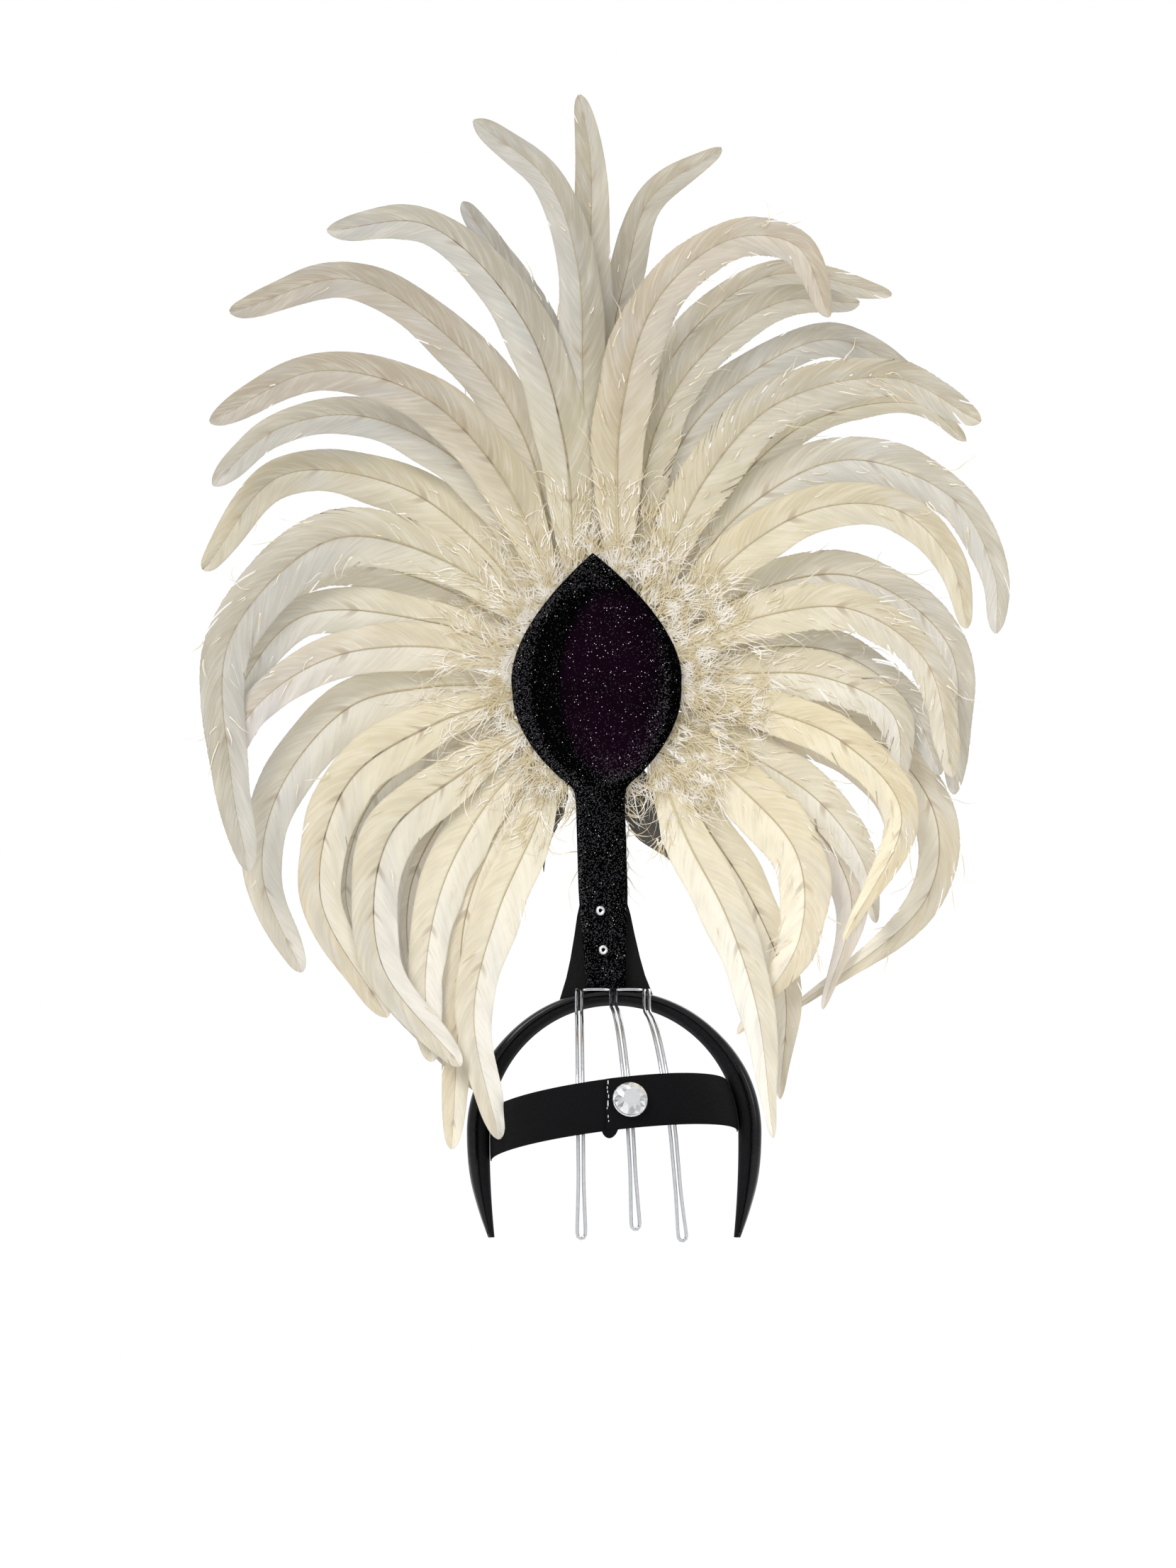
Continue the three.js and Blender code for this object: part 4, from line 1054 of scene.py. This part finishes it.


# %% [markdown]
# ## The look of a feather
# Seen close, a vane is thousands of fine barbs, so its colour and shine run in thin streaks from shaft to
# edge. Near the root it is warmer, here and there it has brownish flecks, and some light comes through.
# A thin dark line along each vane's edge is painted shadow between the layers, and random bluish-grey
# patches are painted shade, for the cool shade seen at thin places. The streaks follow the feather's own
# UV map, whose first number is the place along the shaft.

# %% Vane and shaft looks


def vane_look(name, warm, pale, shade, cold_shade_tone, fleck_tone):
    look = Look(name, Roughness=0.55, Specular_IOR_Level=0.3)
    along, across = look.parts(look.uv())[:2]
    tint, dark = look.tint("Color"), look.tint("Alpha")
    barb = look.noise(look.vector(along * 640.0, across * 4.0, dark * 9.0), 1.0, 2.0)
    clump = look.noise(look.vector(along * 170.0, across * 2.5, dark * 23.0), 1.0, 2.0)
    patch = look.noise(look.vector(along * 22.0, across * 3.0, dark * 40.0), 1.0, 2.0)
    fleck = look.noise(look.vector(along * 70.0, across * 9.0, dark * 70.0), 1.0, 1.0).step(0.76, 0.82)
    knots = look.noise(look.vector(along * 34.0, dark * 50.0, 0.0), 1.0, 1.0).step(0.60, 0.66)
    off = ((across - 0.5) * (across - 0.5)) ** 0.5 * 2
    root = 1 - along.step(0.08, 0.40)
    tone = look.blend(root * 0.66, tint, warm)
    tone = look.blend(patch.step(0.45, 0.75) * 0.20, tone, shade)
    tone = look.blend((1 - patch).step(0.50, 0.80) * 0.35, tone, pale)
    tone = look.blend(fleck * 0.22, tone, fleck_tone)
    tone = look.blend(clump.step(0.50, 0.75) * 0.22, tone, shade)
    tone = look.blend(clump.step(0.50, 0.25) * 0.32, tone, pale)
    tone = look.blend(barb.step(0.3, 0.7) * 0.10, tone, shade)
    tone = look.blend(knots * (1 - off.step(0.15, 0.40)) * 0.50, tone, fleck_tone)
    # Painted shadow: a thin dark line along each vane's edge, for the shadow between layers.
    tone = look.blend(off.step(0.90, 1.0) * 0.30, tone, shade)
    # Painted shade: random bluish-grey patches for the cool shade seen at thin places of the vanes.
    cool_painted_shade = look.noise(look.vector(along * 9.0, across * 2.0, dark * 90.0), 1.0, 1.0).step(0.52, 0.70)
    tone = look.blend(cool_painted_shade * (1 - root) * 0.30, tone, cold_shade_tone)
    look.set("Base Color", tone)
    look.bump(barb + clump * 2.0, 0.00008, 0.35)
    through = look.node("BsdfTranslucent", {"Color": (*pale, 1)})
    surface = Value(look.tree, look.surface.outputs[0])
    look.end(look.node("MixShader", {0: 0.16, 1: surface, 2: through}), "Material Output")
    return look


vane = vane_look(
    "feather_vane", warm=(0.77, 0.68, 0.445), pale=(0.82, 0.79, 0.72), shade=(0.33, 0.30, 0.245),
    cold_shade_tone=(0.44, 0.455, 0.47), fleck_tone=(0.30, 0.21, 0.13)
)
quill = Look("feather_shaft", Roughness=0.35)
along = quill.parts(quill.uv())[0]
dark = quill.tint("Alpha")
knots = quill.noise(quill.vector(along * 34.0, dark * 50.0, 0.0), 1.0, 1.0).step(0.50, 0.62)
far = along.step(0.05, 0.25)
brown = (far * (dark * (knots * 0.6 + 0.5) + 0.15)).held()
quill.set("Base Color", quill.blend(brown, (0.58, 0.49, 0.30), (0.10, 0.062, 0.036)))

# %% Make the feathers
for side, table, seed in (("left", left_rows, 0), ("right", right_rows, 100)):
    for number, row in enumerate(table, 1):
        node = f"{side}_feather_{number:02d}"
        plume = feather(node.replace("feather", "plume"), node, row, seed + number, [vane, quill], "feather")
print("the last feather has", len(plume.data.polygons), "faces")

# %% [markdown]
# ## Down and loose barbs
# Near its root a feather's barbs are soft and don't hold together, and some have come loose farther out.
# They make the fluff that hides the panel's edge. Hair particles could grow it, but they would leave no
# mesh, so each barb is a thin ribbon that follows a bending line, and all of a side are worked out at once.

# %% Ribbons


def ribbons(begin, heading, length, width, bend, wave, depth, rise, rng, stations=9):
    """Thin ribbons: each line starts at begin in direction heading, turns by bend along its length with a
    wave on top, and its places are the running sums of the steps. The width falls off to the tip."""
    count = len(begin)
    t = np.linspace(0, 1, stations)[None, :]
    shake = wave[:, None] * np.sin(t * 9 + rng.uniform(0, 6, (count, 1)))
    turn = heading[:, None] + bend[:, None] * t + shake
    step = (length / (stations - 1))[:, None]
    x = begin[:, :1] + np.cumsum(np.sin(turn) * step, 1) - np.sin(turn[:, :1]) * step
    z = begin[:, 1:] + np.cumsum(np.cos(turn) * step, 1) - np.cos(turn[:, :1]) * step
    y = depth[:, None] + rise[:, None] * t**1.5
    half = 0.5 * width[:, None] * (1 - 0.85 * t)
    sides = [np.stack([x + s * half * np.cos(turn), y, z - s * half * np.sin(turn)], -1) for s in (-1, 1)]
    points = np.stack(sides, 2).reshape(-1, 3)
    k, j = np.meshgrid(np.arange(count), np.arange(stations - 1), indexing="ij")
    a = ((k * stations + j) * 2).ravel()
    faces = np.stack([a, a + 1, a + 3, a + 2], -1)
    return points, faces


def barb_starts(row, count, low, high, off, rng):
    """Places along a feather for loose barbs, with the direction of the shaft there: off is how far out
    from the shaft they start, as a share of the vane's half width."""
    shaft, tangent, length = feather_route(row)
    at = rng.uniform(low, high, count)
    x, z, tx, tz = read_all(at, *shaft.T, *tangent.T)
    hand = rng.choice([-1, 1], count)
    across = hand * vane_half * row[2] * read(vane_rows, at) * rng.uniform(0, off, count)
    begin = np.stack([x + across * tz, z - across * tx], -1)
    return begin, np.arctan2(tx, tz), hand, fan_depth(row[0], *begin.T)


# Kinds of loose barb: how many on a feather, from and to where along it, how far off its shaft, the
# angle away from the shaft, the length, the curl, and how far it may rise towards the viewer.
root_down = (70, 0.0, 0.22, 0.9, (0.0, 0.7), (10, 32), 1.0, 1.6)
loose_barbs = (4, 0.25, 0.85, 1.0, (0.15, 0.45), (7, 17), 0.4, 1.2)
torn_barbs = (26, 0.12, 0.80, 1.0, (0.15, 0.60), (8, 24), 0.8, 1.8)


def edge_tufts(low, high, count, far, rng):
    """Tufts of down in front of the roots: each has a place up to far millimetres from the panel's edge
    and 16 strands that spread from its direction."""
    way = np.repeat(rng.uniform(low, high, count), 16) + rng.normal(0, 1.6, count * 16)
    edges = np.array([core_edge(k) for k in range(-180, 181, 3)])
    out = np.repeat(rng.uniform(0, 1, count) ** 2 * far, 16)
    reach = np.interp(way, np.arange(-180, 181, 3), edges) + out + rng.uniform(1, 9, len(way))
    aim = np.repeat(rng.normal(0, 0.35, count), 16) + rng.normal(0, 0.35, len(way))
    return polar(way, reach), np.radians(way) + aim


def fluff(name, table, seed, sweep, look):
    """The down at the roots of one side's feathers, tufts along the panel's edge, and the loose barbs
    farther out, as one piece."""
    rng = np.random.default_rng(seed)
    parts, faces, start = [], [], 0
    jobs = []
    for row in table:
        for kind in [root_down, loose_barbs] + row[6] * [torn_barbs]:
            count, low, high, off, angle, size, curl, lift = kind
            begin, way, hand, depth = barb_starts(row, count, low, high, off, rng)
            heading = way + hand * rng.uniform(*angle, count)
            jobs.append((begin, heading, rng.uniform(*size, count), curl, depth - 0.8, lift))
    begin, heading = edge_tufts(*sweep, rng)
    size = rng.uniform(9, 30, len(begin)) * rng.uniform(0.6, 1.2, len(begin))
    jobs.append((begin, heading, size, 1.3, np.full(len(begin), -5.3), 4.0))
    for begin, heading, size, curl, depth, lift in jobs:
        count = len(begin)
        points, quads = ribbons(
            begin, heading, size, rng.uniform(0.3, 1.0, count),
            rng.uniform(-curl, curl, count) * rng.choice([1, 1, 1, 1, 1, 3.5], count),
            rng.uniform(0, 0.3, count), depth, -rng.uniform(-0.2, 1, count) * lift, rng
        )
        parts.append(points)
        faces.append(quads + start)
        start += len(points)
    piece = put(name, leaned(np.concatenate(parts)), np.concatenate(faces), [look.material])
    print(name, "has", len(piece.data.polygons), "faces")


down_look = Look("down", Roughness=0.8, Specular_IOR_Level=0.15)
down_tone = down_look.noise(down_look.place(), 110.0).step(0.42, 0.58)
down_look.set("Base Color", down_look.blend(down_tone, (0.80, 0.75, 0.66), (0.62, 0.53, 0.35)))
fluff("down_left", left_rows, 501, (-172, 2, 60, 8), down_look)
fluff("down_right", right_rows, 502, (2, 172, 90, 55), down_look)

# %% [markdown]
# ## Dark feather tips
# Two short dark grey tips show below the panel, from feathers glued on the front. They are made as the
# cream ones are, with a dark tint.

# %% Dark feathers
dusk = vane_look(
    "dark_vane", warm=(0.13, 0.115, 0.105), pale=(0.10, 0.095, 0.09), shade=(0.02, 0.02, 0.02),
    cold_shade_tone=(0.04, 0.04, 0.045), fleck_tone=(0.03, 0.03, 0.03)
)
soot = (0.055, 0.051, 0.05)
dark_rows = {
    "dark_feather_left": (8, -158, 0.55, (-159, 32, -163, 41), soot, 1.0, 0),
    "dark_feather_right": (8, 156, 0.70, (163, 32, 159, 41), soot, 1.0, 0),
}
for number, (node, row) in enumerate(dark_rows.items()):
    feather(node.replace("feather", "plume"), node, row, 300 + number, [dusk, quill], "dark_feather")
print("dark feathers:", len(dark_rows))
